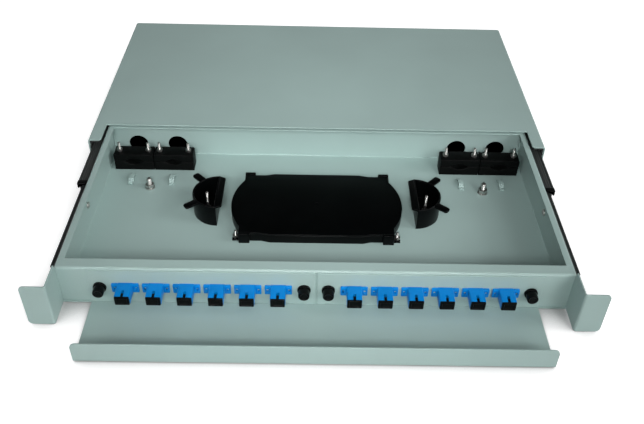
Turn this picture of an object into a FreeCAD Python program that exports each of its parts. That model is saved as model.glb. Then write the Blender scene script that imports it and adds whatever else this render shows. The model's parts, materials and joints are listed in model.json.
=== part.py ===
import FreeCAD, Part
import math
import os

# Sliding fibre patch panel for a 19 inch rack, one unit high, with its drawer pulled out.
# Millimetres. X runs across the rack, Y from the front to the rear and Z up.
# The origin lies under the middle of the whole, at the height of the housing's foot flanges.

# Rack: the span over the ears drives every width
EAR_SPAN = 482.6
EAR_PROUD = 6.8

# Sheet metal
GAUGE = 1.2
BEND = 1.0
FIT = 0.1

# Housing: a folded cover, open at the front, at the rear and below
HOUSING_DEPTH = 267.0
HOUSING_HEIGHT = 44.0
FOOT_FLANGE = 12.0
REAR_RETURN = 12.0
NOTCH_GAP = 0.9
NOTCH_BACK_GAP = 4.6
NOTCH_RADIUS = 1.0
TAB_RADIUS = 3.0

# Drawer: a folded tray that hangs between the slides
DRAWER_DEPTH = 223.2
DRAWER_HEIGHT = 40.2
DRAWER_LIFT = 0.6
RIM = 6.6
REAR_RIM = 11.0
TONGUE_SIDE_GAP = 24.8
TONGUE_LENGTH = 65.4
LIP_HEIGHT = 21.4
LIP_RADIUS = 5.0
EAR_HEIGHT = 43.6
EAR_REACH = 25.7
EAR_RADIUS = 4.0
TRAVEL = 208.4
STOP_GAP = 0.3

# Front frame and the two adapter plates
FRAME_FLANGE = 11.5
PLATE_SEAM = 1.0
PLATE_TOP_GAP = 2.0
PLATE_FLOOR_GAP = 0.3
PLATE_END_GAP = 0.5
WINDOW_MARGIN = 17.5
WINDOW_SILL = 6.0
PORT_HEIGHT = 19.4
PORT_END_GAP = 4.6
PORTS_PER_PLATE = 6

# Square push-pull adapters with their caps and clips
ADAPTER_WIDTH = 12.9
ADAPTER_TALL = 9.3
ADAPTER_FRONT = 15.6
ADAPTER_REAR = 13.0
FLANGE_GAP = 2.7
FLANGE_THICK = 2.0
FLANGE_HOLE_EDGE = 0.975
PORT_WIDE = 9.7
PORT_TALL = 7.7
PORT_WEB = 2.4
KEYWAY_WIDE = 2.4
KEYWAY_LONG = 7.0
HOLDER_RADIUS = 2.6
HOLDER_REACH = 6.5
SLEEVE_RADIUS = 1.6
SLEEVE_BORE = 1.25
SLEEVE_LONG = 11.4
CLIP_GAUGE = 0.4
CLIP_WIDE = 5.0
CUTOUT_GAP = 0.3
CAP_PLATE = 1.6
CAP_INSET = 0.2
CAP_PLUG = 5.0
CAP_GAP = 0.2

# Push-in plunger fasteners
PLUNGER_INSET = 9.4
COLLAR_RADIUS = 5.7
COLLAR_THICK = 2.4
BARREL_RADIUS = 3.2
BARREL_LONG = 7.0
PIN_RADIUS = 1.5
PIN_TAIL = 9.0
PIN_TIP = 1.2
KNOB_RADIUS = 4.8
KNOB_LONG = 6.4
KNOB_EDGE = 0.8
PLUNGER_GAP = 0.3
HOLE_GAP = 0.1

# Slides: an outer member on the housing, a middle one, an inner one on the drawer
SLIDE_THICKNESS = 12.8
SLIDE_HEIGHT = 22.5
SLIDE_GAUGE = 1.2
OUTER_HALF = 17.5
OUTER_TIP = 9.2
OUTER_LENGTH = 255.0
MIDDLE_WEB = 3.0
MIDDLE_HALF = 14.3
MIDDLE_TIP_GAP = 1.4
MIDDLE_LENGTH = 240.0
MIDDLE_SHARE = 0.32
INNER_HALF = 11.1
INNER_DEEP = 6.0
INNER_START = 9.0
INNER_LENGTH = 200.0
SLIDE_RECESS = 2.5
BUMPER_LONG = 5.0
BUMPER_TALL = 6.0
BUMPER_PROUD = 0.5
BALL_RADIUS = 1.25
RACE_GAP = 0.25
RACE_GAUGE = 0.9
OUTER_RACE = 5.2
INNER_RACE_GAP = 3.7
BALLS_PER_ROW = 3
CAGE_GAUGE = 0.5
CAGE_GAP = 0.6
CAGE_LAP = 1.8
OUTER_CAGE_LENGTH = 120.0
OUTER_CAGE_INSET = 30.0
INNER_CAGE_LENGTH = 58.0
INNER_CAGE_INSET = 12.0
RIVET_RADIUS = 2.0
RIVET_GAP = 0.05
RIVETS_PER_SLIDE = 3
RIVET_INSET = 30.0
WALL_SCREWS = (20.0, 105.0)
WALL_SCREW_RADIUS = 1.5
WALL_SCREW_HEAD = 3.2
WALL_SCREW_HEAD_THICK = 1.8

# Cable entries through the rear wall of the drawer
ENTRY_RADIUS = 10.25
ENTRY_HEIGHT = 13.6

# Two-part cable clamps in front of the entries
CLAMP_WIDE = 41.4
CLAMP_DEEP = 16.0
CLAMP_TALL = 19.5
CLAMP_STANDOFF = 15.0
CLAMP_WALL_GAP = 5.6
CLAMP_PAIR_GAP = 0.6
CLAMP_SPLIT = 0.4
CLAMP_EDGE = 1.5
LENS_WIDE = 18.4
LENS_TALL = 7.2
LENS_HEIGHT = 10.8
CLAMP_STUD_PITCH = 30.2
CLAMP_STUD_RISE = 10.0

# Studs and nuts that hold the clamps, the splice tray and the spools
STUD_RADIUS = 1.5
STUD_HOLE_GAP = 0.15
NUT_ACROSS_FLATS = 5.5
NUT_THICK = 2.4
NUT_GAP = 0.4

# Saddles for cable ties on the drawer's floor, and earth studs
SADDLE_FROM_FRONT = 174.5
SADDLE_WIDE = 5.2
SADDLE_LONG = 18.0
SADDLE_RISE = 3.0
SADDLE_FOOT = 3.0
EARTH_FROM_FRONT = 161.0
EARTH_STUD_RADIUS = 2.5
EARTH_STUD_TALL = 12.0
EARTH_WASHER_RADIUS = 5.0
EARTH_WASHER_THICK = 1.0
EARTH_NUT_ACROSS_FLATS = 8.0
EARTH_NUT_THICK = 4.0

# Splice tray with a lid that clips between four corner posts
TRAY_FROM_FRONT = 126.2
TRAY_HALF_LONG = 84.5
TRAY_END_X = 74.0
TRAY_END_Y = 36.0
TRAY_HALF_DEEP = 47.3
TRAY_WAIST_DEEP = 45.0
TRAY_BULGE_X = 44.0
TRAY_WAIST_X = 53.0
TRAY_TALL = 10.6
TRAY_WALL = 1.6
TRAY_FLOOR = 1.5
LID_THICK = 1.6
LID_SKIRT = 1.2
LID_GAP = 0.2
POST_WIDE = 10.5
POST_DEEP = 3.6
POST_LIP = 0.8
FOOT_TAB_WIDE = 9.0
TRAY_STUD_RISE = 7.5
COMB_WIDE = 26.0
COMB_RIBS = 7
COMB_PITCH = 6.2
COMB_RIB = 1.4
COMB_TALL = 5.0

# Half-round fibre spools with two fingers and a lip
SPOOL_X = 97.0
SPOOL_FROM_FRONT = 127.0
SPOOL_RADIUS = 25.0
SPOOL_WALL = 1.8
SPOOL_TALL = 23.4
SPOOL_FLOOR = 2.0
HORN_THICK = 2.4
FINGER_REACH = 13.0
FINGER_WIDE = 7.4
FINGER_EDGE = 2.0
FRONT_FINGER_ANGLE = -39.0
REAR_FINGER_ANGLE = 47.0
SPOOL_LIP = 5.5
SPOOL_LIP_SLANT = 3.0
SPOOL_STUD_X = 11.0
SPOOL_STUD_TALL = 22.0

# Places worked out from the sizes above
LEFT = 1
RIGHT = -1
SIDES = {"left": -1, "right": 1}
EAR_LEG = EAR_REACH - GAUGE
PULLED = TRAVEL + STOP_GAP - EAR_LEG
REAR = (TONGUE_LENGTH + PULLED + HOUSING_DEPTH) / 2
FRONT_EDGE = REAR - HOUSING_DEPTH
FACE = FRONT_EDGE - PULLED
DRAWER_REAR = FACE + DRAWER_DEPTH
HOUSING_WIDTH = EAR_SPAN - 2 * EAR_PROUD
HALF_HOUSING = HOUSING_WIDTH / 2
INNER_WALL = HALF_HOUSING - GAUGE
HALF_DRAWER = INNER_WALL - SLIDE_THICKNESS
DRAWER_INSIDE = HALF_DRAWER - GAUGE
DRAWER_TOP = DRAWER_LIFT + DRAWER_HEIGHT
FLOOR = DRAWER_LIFT + GAUGE
CORNER = BEND + GAUGE
NOTCH_DEPTH = EAR_LEG - STOP_GAP + NOTCH_BACK_GAP
AXIS_Z = DRAWER_LIFT + PORT_HEIGHT
SLIDE_Z = DRAWER_LIFT + SLIDE_HEIGHT
ENTRY_Z = DRAWER_LIFT + ENTRY_HEIGHT
ENTRY_PITCH = CLAMP_WIDE + CLAMP_PAIR_GAP
ENTRY_INNER = DRAWER_INSIDE - CLAMP_WALL_GAP - CLAMP_WIDE / 2 - ENTRY_PITCH
ENTRIES = [side * (ENTRY_INNER + step * ENTRY_PITCH) for side in (-1, 1) for step in (0, 1)]
INNER_RACE = SLIDE_THICKNESS - INNER_RACE_GAP
OUTER_BALL_Z = (OUTER_HALF - SLIDE_GAUGE + MIDDLE_HALF) / 2
INNER_BALL_Z = (MIDDLE_HALF - SLIDE_GAUGE + INNER_HALF) / 2
MIDDLE_FRONT = FRONT_EDGE + SLIDE_RECESS + BUMPER_LONG - MIDDLE_SHARE * TRAVEL
MIDDLE_TIP = SLIDE_THICKNESS - MIDDLE_TIP_GAP
OUTER_CAGE_Y = FRONT_EDGE + OUTER_CAGE_INSET
INNER_CAGE_Y = MIDDLE_FRONT + INNER_CAGE_INSET
TONGUE_WIDTH = 2 * (DRAWER_INSIDE - TONGUE_SIDE_GAP)
PLATE_LONG = TONGUE_WIDTH / 2 - PLATE_END_GAP - PLATE_SEAM
PLATE_CENTRE = PLATE_SEAM + PLATE_LONG / 2
PORT_ROW = PLATE_LONG - 2 * (PLUNGER_INSET + COLLAR_RADIUS + PORT_END_GAP)
PORT_PITCH = (PORT_ROW + FLANGE_GAP) / PORTS_PER_PLATE
FLANGE_WIDTH = PORT_PITCH - FLANGE_GAP
FLANGE_HOLE_PITCH = (FLANGE_WIDTH + ADAPTER_WIDTH) / 2 + CUTOUT_GAP
FLANGE_HOLE = (FLANGE_WIDTH - ADAPTER_WIDTH) / 4 - CUTOUT_GAP / 2 - FLANGE_HOLE_EDGE
CLAMP_FRONT = DRAWER_REAR - GAUGE - CLAMP_STANDOFF - CLAMP_DEEP
TRAY_Y = FACE + TRAY_FROM_FRONT
FOOT_TAB = NUT_ACROSS_FLATS + 2 * NUT_GAP
SPOOL_Y = FACE + SPOOL_FROM_FRONT


def vec(x, y, z):
    return FreeCAD.Vector(x, y, z)


X_AXIS = vec(1, 0, 0)
Y_AXIS = vec(0, 1, 0)
Z_AXIS = vec(0, 0, 1)


def box(x0, x1, y0, y1, z0, z1):
    low_x, high_x = sorted((x0, x1))
    low_y, high_y = sorted((y0, y1))
    low_z, high_z = sorted((z0, z1))
    return Part.makeBox(high_x - low_x, high_y - low_y, high_z - low_z, vec(low_x, low_y, low_z))


def rod(radius, length, start, direction):
    return Part.makeCylinder(radius, length, start, direction)


def in_xz(y):
    return lambda a, b: vec(a, y, b)


def in_yz(x):
    return lambda a, b: vec(x, a, b)


def in_xy(z):
    return lambda a, b: vec(a, b, z)


def fuse(shapes):
    return shapes[0].multiFuse(shapes[1:]).removeSplitter()


def group(shapes):
    return Part.makeCompound(shapes)


def mirrored(shape):
    return shape.mirror(vec(0, 0, 0), X_AXIS)


# A closed outline with rounded corners, each corner given as (a, b, radius)
def rounded_face(corners, place):
    stops = []
    count = len(corners)
    for index in range(count):
        a, b, radius = corners[index]
        here = vec(a, b, 0)
        if radius == 0:
            stops.append((here, None, here))
            continue
        before = corners[index - 1]
        after = corners[(index + 1) % count]
        back = vec(before[0], before[1], 0) - here
        ahead = vec(after[0], after[1], 0) - here
        back.normalize()
        ahead.normalize()
        half_angle = back.getAngle(ahead) / 2
        tangent = radius / math.tan(half_angle)
        bisector = back + ahead
        bisector.normalize()
        middle = here + bisector * (radius / math.sin(half_angle) - radius)
        stops.append((here + back * tangent, middle, here + ahead * tangent))
    edges = []
    for index in range(count):
        enter, middle, leave = stops[index]
        if middle is not None:
            points = [place(p.x, p.y) for p in (enter, middle, leave)]
            edges.append(Part.Arc(*points).toShape())
        following = stops[(index + 1) % count][0]
        if leave.distanceToPoint(following) > 1e-6:
            edges.append(Part.makeLine(place(leave.x, leave.y), place(following.x, following.y)))
    return Part.Face(Part.Wire(edges))


# An outline of lines and arcs: each step is an end point, or a middle and an end point
def path_face(start, steps, place):
    edges = []
    here = start
    for step in steps:
        if len(step) == 1:
            edges.append(Part.makeLine(place(*here), place(*step[0])))
        else:
            edges.append(Part.Arc(place(*here), place(*step[0]), place(*step[1])).toShape())
        here = step[-1]
    return Part.Face(Part.Wire(edges))


# The section of a folded sheet: a path along one face, with the thickness on one side of it
def folded_face(path, side, place, gauge=GAUGE, bend=BEND):
    points = [vec(a, b, 0) for a, b in path]
    runs = []
    for start, end in zip(points, points[1:]):
        run = end - start
        run.normalize()
        runs.append(run)
    normals = [vec(-run.y, run.x, 0) * side for run in runs]
    first = points[0] + normals[0] * gauge
    last = points[-1] + normals[-1] * gauge
    near = [(points[0].x, points[0].y, 0)]
    far = [(first.x, first.y, 0)]
    for index in range(1, len(points) - 1):
        turn = runs[index - 1].x * runs[index].y - runs[index - 1].y * runs[index].x
        inside = turn * side > 0
        corner = normals[index - 1] + normals[index]
        shifted = points[index] + corner * (2 * gauge / corner.dot(corner))
        near.append((points[index].x, points[index].y, bend + gauge if inside else bend))
        far.append((shifted.x, shifted.y, bend if inside else bend + gauge))
    near.append((points[-1].x, points[-1].y, 0))
    far.append((last.x, last.y, 0))
    return rounded_face(near + far[::-1], place)


# A nut with two of its flats facing along X
def hex_nut(across_flats, thick, hole, x, y, z):
    reach = across_flats / math.sqrt(3)
    turns = [math.radians(60 * k + 30) for k in range(6)]
    corners = [(x + reach * math.cos(turn), y + reach * math.sin(turn), 0) for turn in turns]
    nut = rounded_face(corners, in_xy(z)).extrude(vec(0, 0, thick))
    return nut.cut(rod(hole, thick, vec(x, y, z), Z_AXIS))


def small_nuts(places, z):
    return [hex_nut(NUT_ACROSS_FLATS, NUT_THICK, STUD_RADIUS + RIVET_GAP, x, y, z) for x, y in places]


# Studs pressed into the drawer's floor, flush below, that stand up by their height above the floor
def studs(radius, tall, places):
    return [rod(radius, GAUGE + tall, vec(x, y, DRAWER_LIFT), Z_AXIS) for x, y in places]


# Housing: the top and the two sides, with foot flanges and a rear return turned inwards
def build_housing():
    section = [(FOOT_FLANGE - HALF_HOUSING, 0), (-HALF_HOUSING, 0), (-HALF_HOUSING, HOUSING_HEIGHT),
               (HALF_HOUSING, HOUSING_HEIGHT), (HALF_HOUSING, 0), (HALF_HOUSING - FOOT_FLANGE, 0)]
    wrap = folded_face(section, RIGHT, in_xz(FRONT_EDGE)).extrude(vec(0, HOUSING_DEPTH - CORNER, 0))
    return_section = [(REAR - CORNER - GAUGE, HOUSING_HEIGHT), (REAR, HOUSING_HEIGHT),
                      (REAR, HOUSING_HEIGHT - REAR_RETURN)]
    rear = folded_face(return_section, RIGHT, in_yz(CORNER - HALF_HOUSING))
    rear = rear.extrude(vec(HOUSING_WIDTH - 2 * CORNER, 0, 0))
    ends = [box(side * INNER_WALL, side * HALF_HOUSING, REAR - CORNER, REAR, CORNER, HOUSING_HEIGHT - CORNER)
            for side in (-1, 1)]
    shell = fuse([wrap, rear] + ends)
    cuts = [notch_face().extrude(vec(0, 0, GAUGE))]
    for side in (-1, 1):
        for y in rivet_places():
            start = vec(side * (INNER_WALL - GAUGE), y, SLIDE_Z)
            cuts.append(rod(RIVET_RADIUS + RIVET_GAP, 3 * GAUGE, start, X_AXIS * side))
    return shell.cut(group(cuts))


# The notch in the top's front edge that lets the ears' legs in, with rounded tabs beside it
def notch_face():
    half = HALF_DRAWER + NOTCH_GAP
    wide = half + TAB_RADIUS
    back = FRONT_EDGE + NOTCH_DEPTH
    ahead = FRONT_EDGE - NOTCH_DEPTH
    right = [(wide, ahead, 0), (wide, FRONT_EDGE, 0), (half, FRONT_EDGE, TAB_RADIUS),
             (half, back, NOTCH_RADIUS)]
    left = [(-a, b, radius) for a, b, radius in right[::-1]]
    return rounded_face(right + left, in_xy(HOUSING_HEIGHT - GAUGE))


def rivet_places():
    start = FRONT_EDGE + SLIDE_RECESS + RIVET_INSET
    step = (OUTER_LENGTH - 2 * RIVET_INSET) / (RIVETS_PER_SLIDE - 1)
    return [start + step * k for k in range(RIVETS_PER_SLIDE)]


# Rivets set flush on both sides, so that the cage runs past them
def build_rivets():
    rivets = []
    for side in (-1, 1):
        for y in rivet_places():
            start = vec(side * (INNER_WALL - SLIDE_GAUGE), y, SLIDE_Z)
            rivets.append(rod(RIVET_RADIUS, SLIDE_GAUGE + GAUGE, start, X_AXIS * side))
    return group(rivets)


# Slide members are drawn for the right side, with depth measured from the housing wall inwards
def slide_x(depth):
    return INNER_WALL - depth


def slide_box(depth0, depth1, y0, length, z0, z1):
    return box(slide_x(depth0), slide_x(depth1), y0, y0 + length, SLIDE_Z + z0, SLIDE_Z + z1)


# A ball groove pressed into a flange face, with the bump that it raises on the other side
def race(depth, ball_z, face_z, outward, y0, length):
    outer = BALL_RADIUS + RACE_GAP + RACE_GAUGE
    centre = vec(slide_x(depth), y0, SLIDE_Z + ball_z)
    room = slide_box(depth - outer, depth + outer, y0, length, face_z, face_z + outward * 2 * outer)
    bump = rod(outer, length, centre, Y_AXIS).common(room)
    return bump, rod(BALL_RADIUS + RACE_GAP, length, centre, Y_AXIS)


# A channel with a web and two flanges, grooved for the balls that run on them
def channel(web, flange, half, races, y0, length):
    solids = [slide_box(web, web + SLIDE_GAUGE, y0, length, -half, half)]
    grooves = []
    for up in (-1, 1):
        solids.append(slide_box(*flange, y0, length, up * (half - SLIDE_GAUGE), up * half))
        for depth, ball_z, face_z, outward in races:
            bump, groove = race(depth, up * ball_z, up * face_z, up * outward, y0, length)
            solids.append(bump)
            grooves.append(groove)
    return fuse(solids).cut(group(grooves)).removeSplitter()


def build_outer_slide():
    races = [(OUTER_RACE, OUTER_BALL_Z, OUTER_HALF - SLIDE_GAUGE, 1)]
    member = channel(0, (0, OUTER_TIP), OUTER_HALF, races, FRONT_EDGE + SLIDE_RECESS, OUTER_LENGTH)
    holes = [rod(RIVET_RADIUS + RIVET_GAP, 3 * SLIDE_GAUGE, vec(slide_x(2 * SLIDE_GAUGE), y, SLIDE_Z), X_AXIS)
             for y in rivet_places()]
    return member.cut(group(holes))


def build_middle_slide():
    races = [(OUTER_RACE, OUTER_BALL_Z, MIDDLE_HALF, -1),
             (INNER_RACE, INNER_BALL_Z, MIDDLE_HALF - SLIDE_GAUGE, 1)]
    return channel(MIDDLE_WEB, (MIDDLE_WEB, MIDDLE_TIP), MIDDLE_HALF, races, MIDDLE_FRONT, MIDDLE_LENGTH)


# Two buffers on the front end of the middle member, above and below the inner member's way
def build_bumper():
    y0 = MIDDLE_FRONT - BUMPER_LONG
    half = MIDDLE_HALF + BUMPER_PROUD
    buffers = []
    for up in (-1, 1):
        block = slide_box(MIDDLE_WEB - BUMPER_PROUD, MIDDLE_TIP, y0, BUMPER_LONG,
                          up * (half - BUMPER_TALL), up * half)
        way = slide_box(MIDDLE_WEB + SLIDE_GAUGE, MIDDLE_TIP, y0, BUMPER_LONG,
                        0, up * (MIDDLE_HALF - SLIDE_GAUGE))
        buffer = block.cut(way)
        nose = [edge for edge in buffer.Edges if all(abs(point.Y - y0) < FIT for point in edge.Vertexes)]
        buffers.append(buffer.makeChamfer(BUMPER_PROUD / 2, nose))
    return group(buffers)


def build_inner_slide():
    races = [(INNER_RACE, INNER_BALL_Z, INNER_HALF, -1)]
    web = SLIDE_THICKNESS - SLIDE_GAUGE
    flange = (SLIDE_THICKNESS - INNER_DEEP, SLIDE_THICKNESS)
    member = channel(web, flange, INNER_HALF, races, FACE + INNER_START, INNER_LENGTH)
    radius = WALL_SCREW_RADIUS + RIVET_GAP
    holes = [rod(radius, 2 * SLIDE_GAUGE, vec(HALF_DRAWER, FACE + y, SLIDE_Z), X_AXIS)
             for y in WALL_SCREWS]
    return member.cut(group(holes))


def ball_places(y0, length):
    step = length / BALLS_PER_ROW
    return [y0 + step * (k + 0.5) for k in range(BALLS_PER_ROW)]


# A strip of sheet folded to a channel, with a hole round each ball
def build_cage(web, depth, ball_z, y0, length):
    half = ball_z + CAGE_GAUGE / 2
    solids = [slide_box(web, web + CAGE_GAUGE, y0, length, -half, half)]
    holes = []
    for up in (-1, 1):
        solids.append(slide_box(web, depth + CAGE_LAP, y0, length, up * (half - CAGE_GAUGE), up * half))
        for y in ball_places(y0, length):
            start = vec(slide_x(depth), y, SLIDE_Z + up * ball_z - CAGE_GAUGE)
            holes.append(rod(BALL_RADIUS + RACE_GAP, 2 * CAGE_GAUGE, start, Z_AXIS))
    return fuse(solids).cut(group(holes))


def build_outer_cage():
    web = (SLIDE_GAUGE + MIDDLE_WEB - CAGE_GAUGE) / 2
    return build_cage(web, OUTER_RACE, OUTER_BALL_Z, OUTER_CAGE_Y, OUTER_CAGE_LENGTH)


def build_inner_cage():
    web = MIDDLE_WEB + SLIDE_GAUGE + CAGE_GAP
    return build_cage(web, INNER_RACE, INNER_BALL_Z, INNER_CAGE_Y, INNER_CAGE_LENGTH)


def build_balls(depth, ball_z, y0, length):
    return group([Part.makeSphere(BALL_RADIUS, vec(slide_x(depth), y, SLIDE_Z + up * ball_z))
                  for up in (-1, 1) for y in ball_places(y0, length)])


# Screws that hold the inner slide members, with their heads inside the drawer
def build_wall_screws():
    screws = []
    for side in (-1, 1):
        for y in WALL_SCREWS:
            start = vec(side * DRAWER_INSIDE, FACE + y, SLIDE_Z)
            head = rod(WALL_SCREW_HEAD, WALL_SCREW_HEAD_THICK, start, X_AXIS * -side)
            shank = rod(WALL_SCREW_RADIUS, GAUGE + SLIDE_GAUGE, start, X_AXIS * side)
            screws.append(fuse([head, shank]))
    return group(screws)


# Drawer: floor, rimmed walls, the ears, and the cable tongue with its upturned lip
def build_drawer():
    section = [(RIM - HALF_DRAWER, DRAWER_TOP), (-HALF_DRAWER, DRAWER_TOP), (-HALF_DRAWER, DRAWER_LIFT),
               (HALF_DRAWER, DRAWER_LIFT), (HALF_DRAWER, DRAWER_TOP), (HALF_DRAWER - RIM, DRAWER_TOP)]
    wrap = folded_face(section, LEFT, in_xz(FACE)).extrude(vec(0, DRAWER_DEPTH - CORNER, 0))
    frame_end = FACE + GAUGE + FRAME_FLANGE + FIT
    wrap = wrap.cut(box(-DRAWER_INSIDE, DRAWER_INSIDE, FACE, frame_end, DRAWER_TOP - 2 * CORNER, DRAWER_TOP))
    rear_section = [(DRAWER_REAR - REAR_RIM, DRAWER_TOP), (DRAWER_REAR, DRAWER_TOP), (DRAWER_REAR, DRAWER_LIFT),
                    (DRAWER_REAR - CORNER - GAUGE, DRAWER_LIFT)]
    rear = folded_face(rear_section, RIGHT, in_yz(CORNER - HALF_DRAWER))
    rear = rear.extrude(vec(2 * (HALF_DRAWER - CORNER), 0, 0))
    ends = [box(side * DRAWER_INSIDE, side * HALF_DRAWER, DRAWER_REAR - CORNER, DRAWER_REAR,
                DRAWER_LIFT + CORNER, DRAWER_TOP - CORNER) for side in (-1, 1)]
    ear = build_ear()
    sheet = fuse([wrap, rear, build_tongue(), ear, mirrored(ear)] + ends)
    return sheet.cut(group(drawer_holes()))


def drawer_holes():
    holes = [rod(ENTRY_RADIUS, 3 * GAUGE, vec(x, DRAWER_REAR - 2 * GAUGE, ENTRY_Z), Y_AXIS) for x in ENTRIES]
    for side in (-1, 1):
        for y in WALL_SCREWS:
            start = vec(side * (DRAWER_INSIDE - GAUGE), FACE + y, SLIDE_Z)
            holes.append(rod(WALL_SCREW_RADIUS + RIVET_GAP, 3 * GAUGE, start, X_AXIS * side))
    for x, y in clamp_stud_places() + tray_stud_places() + spool_stud_places():
        holes.append(rod(STUD_RADIUS + RIVET_GAP, GAUGE, vec(x, y, DRAWER_LIFT), Z_AXIS))
    for x, y in earth_places():
        holes.append(rod(EARTH_STUD_RADIUS + RIVET_GAP, GAUGE, vec(x, y, DRAWER_LIFT), Z_AXIS))
    return holes


def build_tongue():
    lip_y = FACE - TONGUE_LENGTH
    half = TONGUE_WIDTH / 2
    low = DRAWER_LIFT + CORNER
    high = DRAWER_LIFT + LIP_HEIGHT
    section = [(FACE + CORNER, DRAWER_LIFT), (lip_y, DRAWER_LIFT), (lip_y, low + BEND)]
    floor = folded_face(section, RIGHT, in_yz(-half)).extrude(vec(TONGUE_WIDTH, 0, 0))
    lip = rounded_face([(-half, low, 0), (half, low, 0), (half, high, LIP_RADIUS), (-half, high, LIP_RADIUS)],
                       in_xz(lip_y)).extrude(vec(0, GAUGE, 0))
    return fuse([floor, lip])


# The right ear: the side wall carried forward past the front and turned outwards
def build_ear():
    front = FACE - EAR_REACH
    low = DRAWER_LIFT
    high = DRAWER_LIFT + EAR_HEIGHT
    root = DRAWER_INSIDE + CORNER
    tip = EAR_SPAN / 2
    leg = folded_face([(DRAWER_INSIDE, FACE), (DRAWER_INSIDE, front), (root + BEND, front)], LEFT, in_xy(low))
    leg = leg.extrude(vec(0, 0, EAR_HEIGHT))
    flange = rounded_face([(root, low, 0), (tip, low, EAR_RADIUS), (tip, high, EAR_RADIUS), (root, high, 0)],
                          in_xz(front)).extrude(vec(0, GAUGE, 0))
    return fuse([leg, flange])


# A strip folded to a low arch and welded to the floor by its feet, for a cable tie to pass under
def build_saddle(x):
    low = FACE + SADDLE_FROM_FRONT - SADDLE_LONG / 2
    high = low + SADDLE_LONG
    top = FLOOR + SADDLE_RISE
    path = [(low, FLOOR), (low + SADDLE_FOOT, FLOOR), (low + SADDLE_FOOT + SADDLE_RISE, top),
            (high - SADDLE_FOOT - SADDLE_RISE, top), (high - SADDLE_FOOT, FLOOR), (high, FLOOR)]
    strip = folded_face(path, LEFT, in_yz(x - SADDLE_WIDE / 2), bend=BEND / 2)
    return strip.extrude(vec(SADDLE_WIDE, 0, 0))


# Front frame: a top flange and a wall with one window behind each adapter plate
def build_frame():
    half = DRAWER_INSIDE - FIT
    wall = FACE + GAUGE
    section = [(wall + FRAME_FLANGE, DRAWER_TOP), (wall, DRAWER_TOP), (wall, FLOOR)]
    frame = folded_face(section, LEFT, in_yz(-half)).extrude(vec(2 * half, 0, 0))
    cuts = []
    for side in (-1, 1):
        near = side * (PLATE_SEAM + WINDOW_MARGIN)
        far = side * (PLATE_SEAM + PLATE_LONG - WINDOW_MARGIN)
        cuts.append(box(near, far, wall, wall + GAUGE, FLOOR + WINDOW_SILL, DRAWER_TOP - WINDOW_SILL))
        cuts.append(box(side * half, side * (half - BEND), wall, wall + GAUGE, FLOOR, FLOOR + BEND))
    for x in plunger_places():
        cuts.append(rod(BARREL_RADIUS + HOLE_GAP, 3 * GAUGE, vec(x, FACE, AXIS_Z), Y_AXIS))
    return frame.cut(group(cuts))


def plunger_places():
    inner = PLATE_SEAM + PLUNGER_INSET
    outer = PLATE_SEAM + PLATE_LONG - PLUNGER_INSET
    return [-outer, -inner, inner, outer]


def port_places(side):
    first = side * PLATE_CENTRE - PORT_PITCH * (PORTS_PER_PLATE - 1) / 2
    return [first + PORT_PITCH * k for k in range(PORTS_PER_PLATE)]


# A box round the axis of a port, given by its half sizes and its two ends
def port_box(x, half_wide, half_tall, y0, y1):
    return box(x - half_wide, x + half_wide, y0, y1, AXIS_Z - half_tall, AXIS_Z + half_tall)


def flange_holes(x, y0, length):
    return [rod(FLANGE_HOLE, length, vec(x + step * FLANGE_HOLE_PITCH / 2, y0, AXIS_Z), Y_AXIS)
            for step in (-1, 1)]


def build_plate(side):
    plate = box(side * PLATE_SEAM, side * (PLATE_SEAM + PLATE_LONG), FACE, FACE + GAUGE,
                FLOOR + PLATE_FLOOR_GAP, DRAWER_TOP - PLATE_TOP_GAP)
    half_wide = ADAPTER_WIDTH / 2 + CUTOUT_GAP
    half_tall = ADAPTER_TALL / 2 + CUTOUT_GAP
    cuts = []
    for x in port_places(side):
        cuts.append(port_box(x, half_wide, half_tall, FACE, FACE + GAUGE))
        cuts.extend(flange_holes(x, FACE, GAUGE))
    for x in plunger_places():
        if x * side > 0:
            cuts.append(rod(BARREL_RADIUS + HOLE_GAP, GAUGE, vec(x, FACE, AXIS_Z), Y_AXIS))
    return plate.cut(group(cuts))


# One adapter: two keyed ports back to back, a panel flange and the sleeve holder between them
def build_adapter(x):
    front = FACE - ADAPTER_FRONT
    rear = FACE + ADAPTER_REAR
    middle = (front + rear) / 2
    half_tall = ADAPTER_TALL / 2
    body = port_box(x, ADAPTER_WIDTH / 2, half_tall, front, rear)
    flange = port_box(x, FLANGE_WIDTH / 2, half_tall, FACE - FLANGE_THICK, FACE)
    cuts = flange_holes(x, FACE - FLANGE_THICK, FLANGE_THICK)
    for mouth, inward in ((front, 1), (rear, -1)):
        cuts.append(port_box(x, PORT_WIDE / 2, PORT_TALL / 2, mouth, middle - inward * PORT_WEB / 2))
        cuts.append(box(x - KEYWAY_WIDE / 2, x + KEYWAY_WIDE / 2, mouth, mouth + inward * KEYWAY_LONG,
                        AXIS_Z, AXIS_Z + half_tall))
    solid = fuse([body, flange]).cut(group(cuts))
    reach = PORT_WEB / 2 + HOLDER_REACH
    start = vec(x, middle - reach, AXIS_Z)
    holder = rod(HOLDER_RADIUS, 2 * reach, start, Y_AXIS)
    return fuse([solid, holder]).cut(rod(SLEEVE_RADIUS + RIVET_GAP, 2 * reach, start, Y_AXIS))


def build_sleeve(x):
    middle = FACE + (ADAPTER_REAR - ADAPTER_FRONT) / 2
    start = vec(x, middle - SLEEVE_LONG / 2, AXIS_Z)
    return rod(SLEEVE_RADIUS, SLEEVE_LONG, start, Y_AXIS).cut(rod(SLEEVE_BORE, SLEEVE_LONG, start, Y_AXIS))


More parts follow.
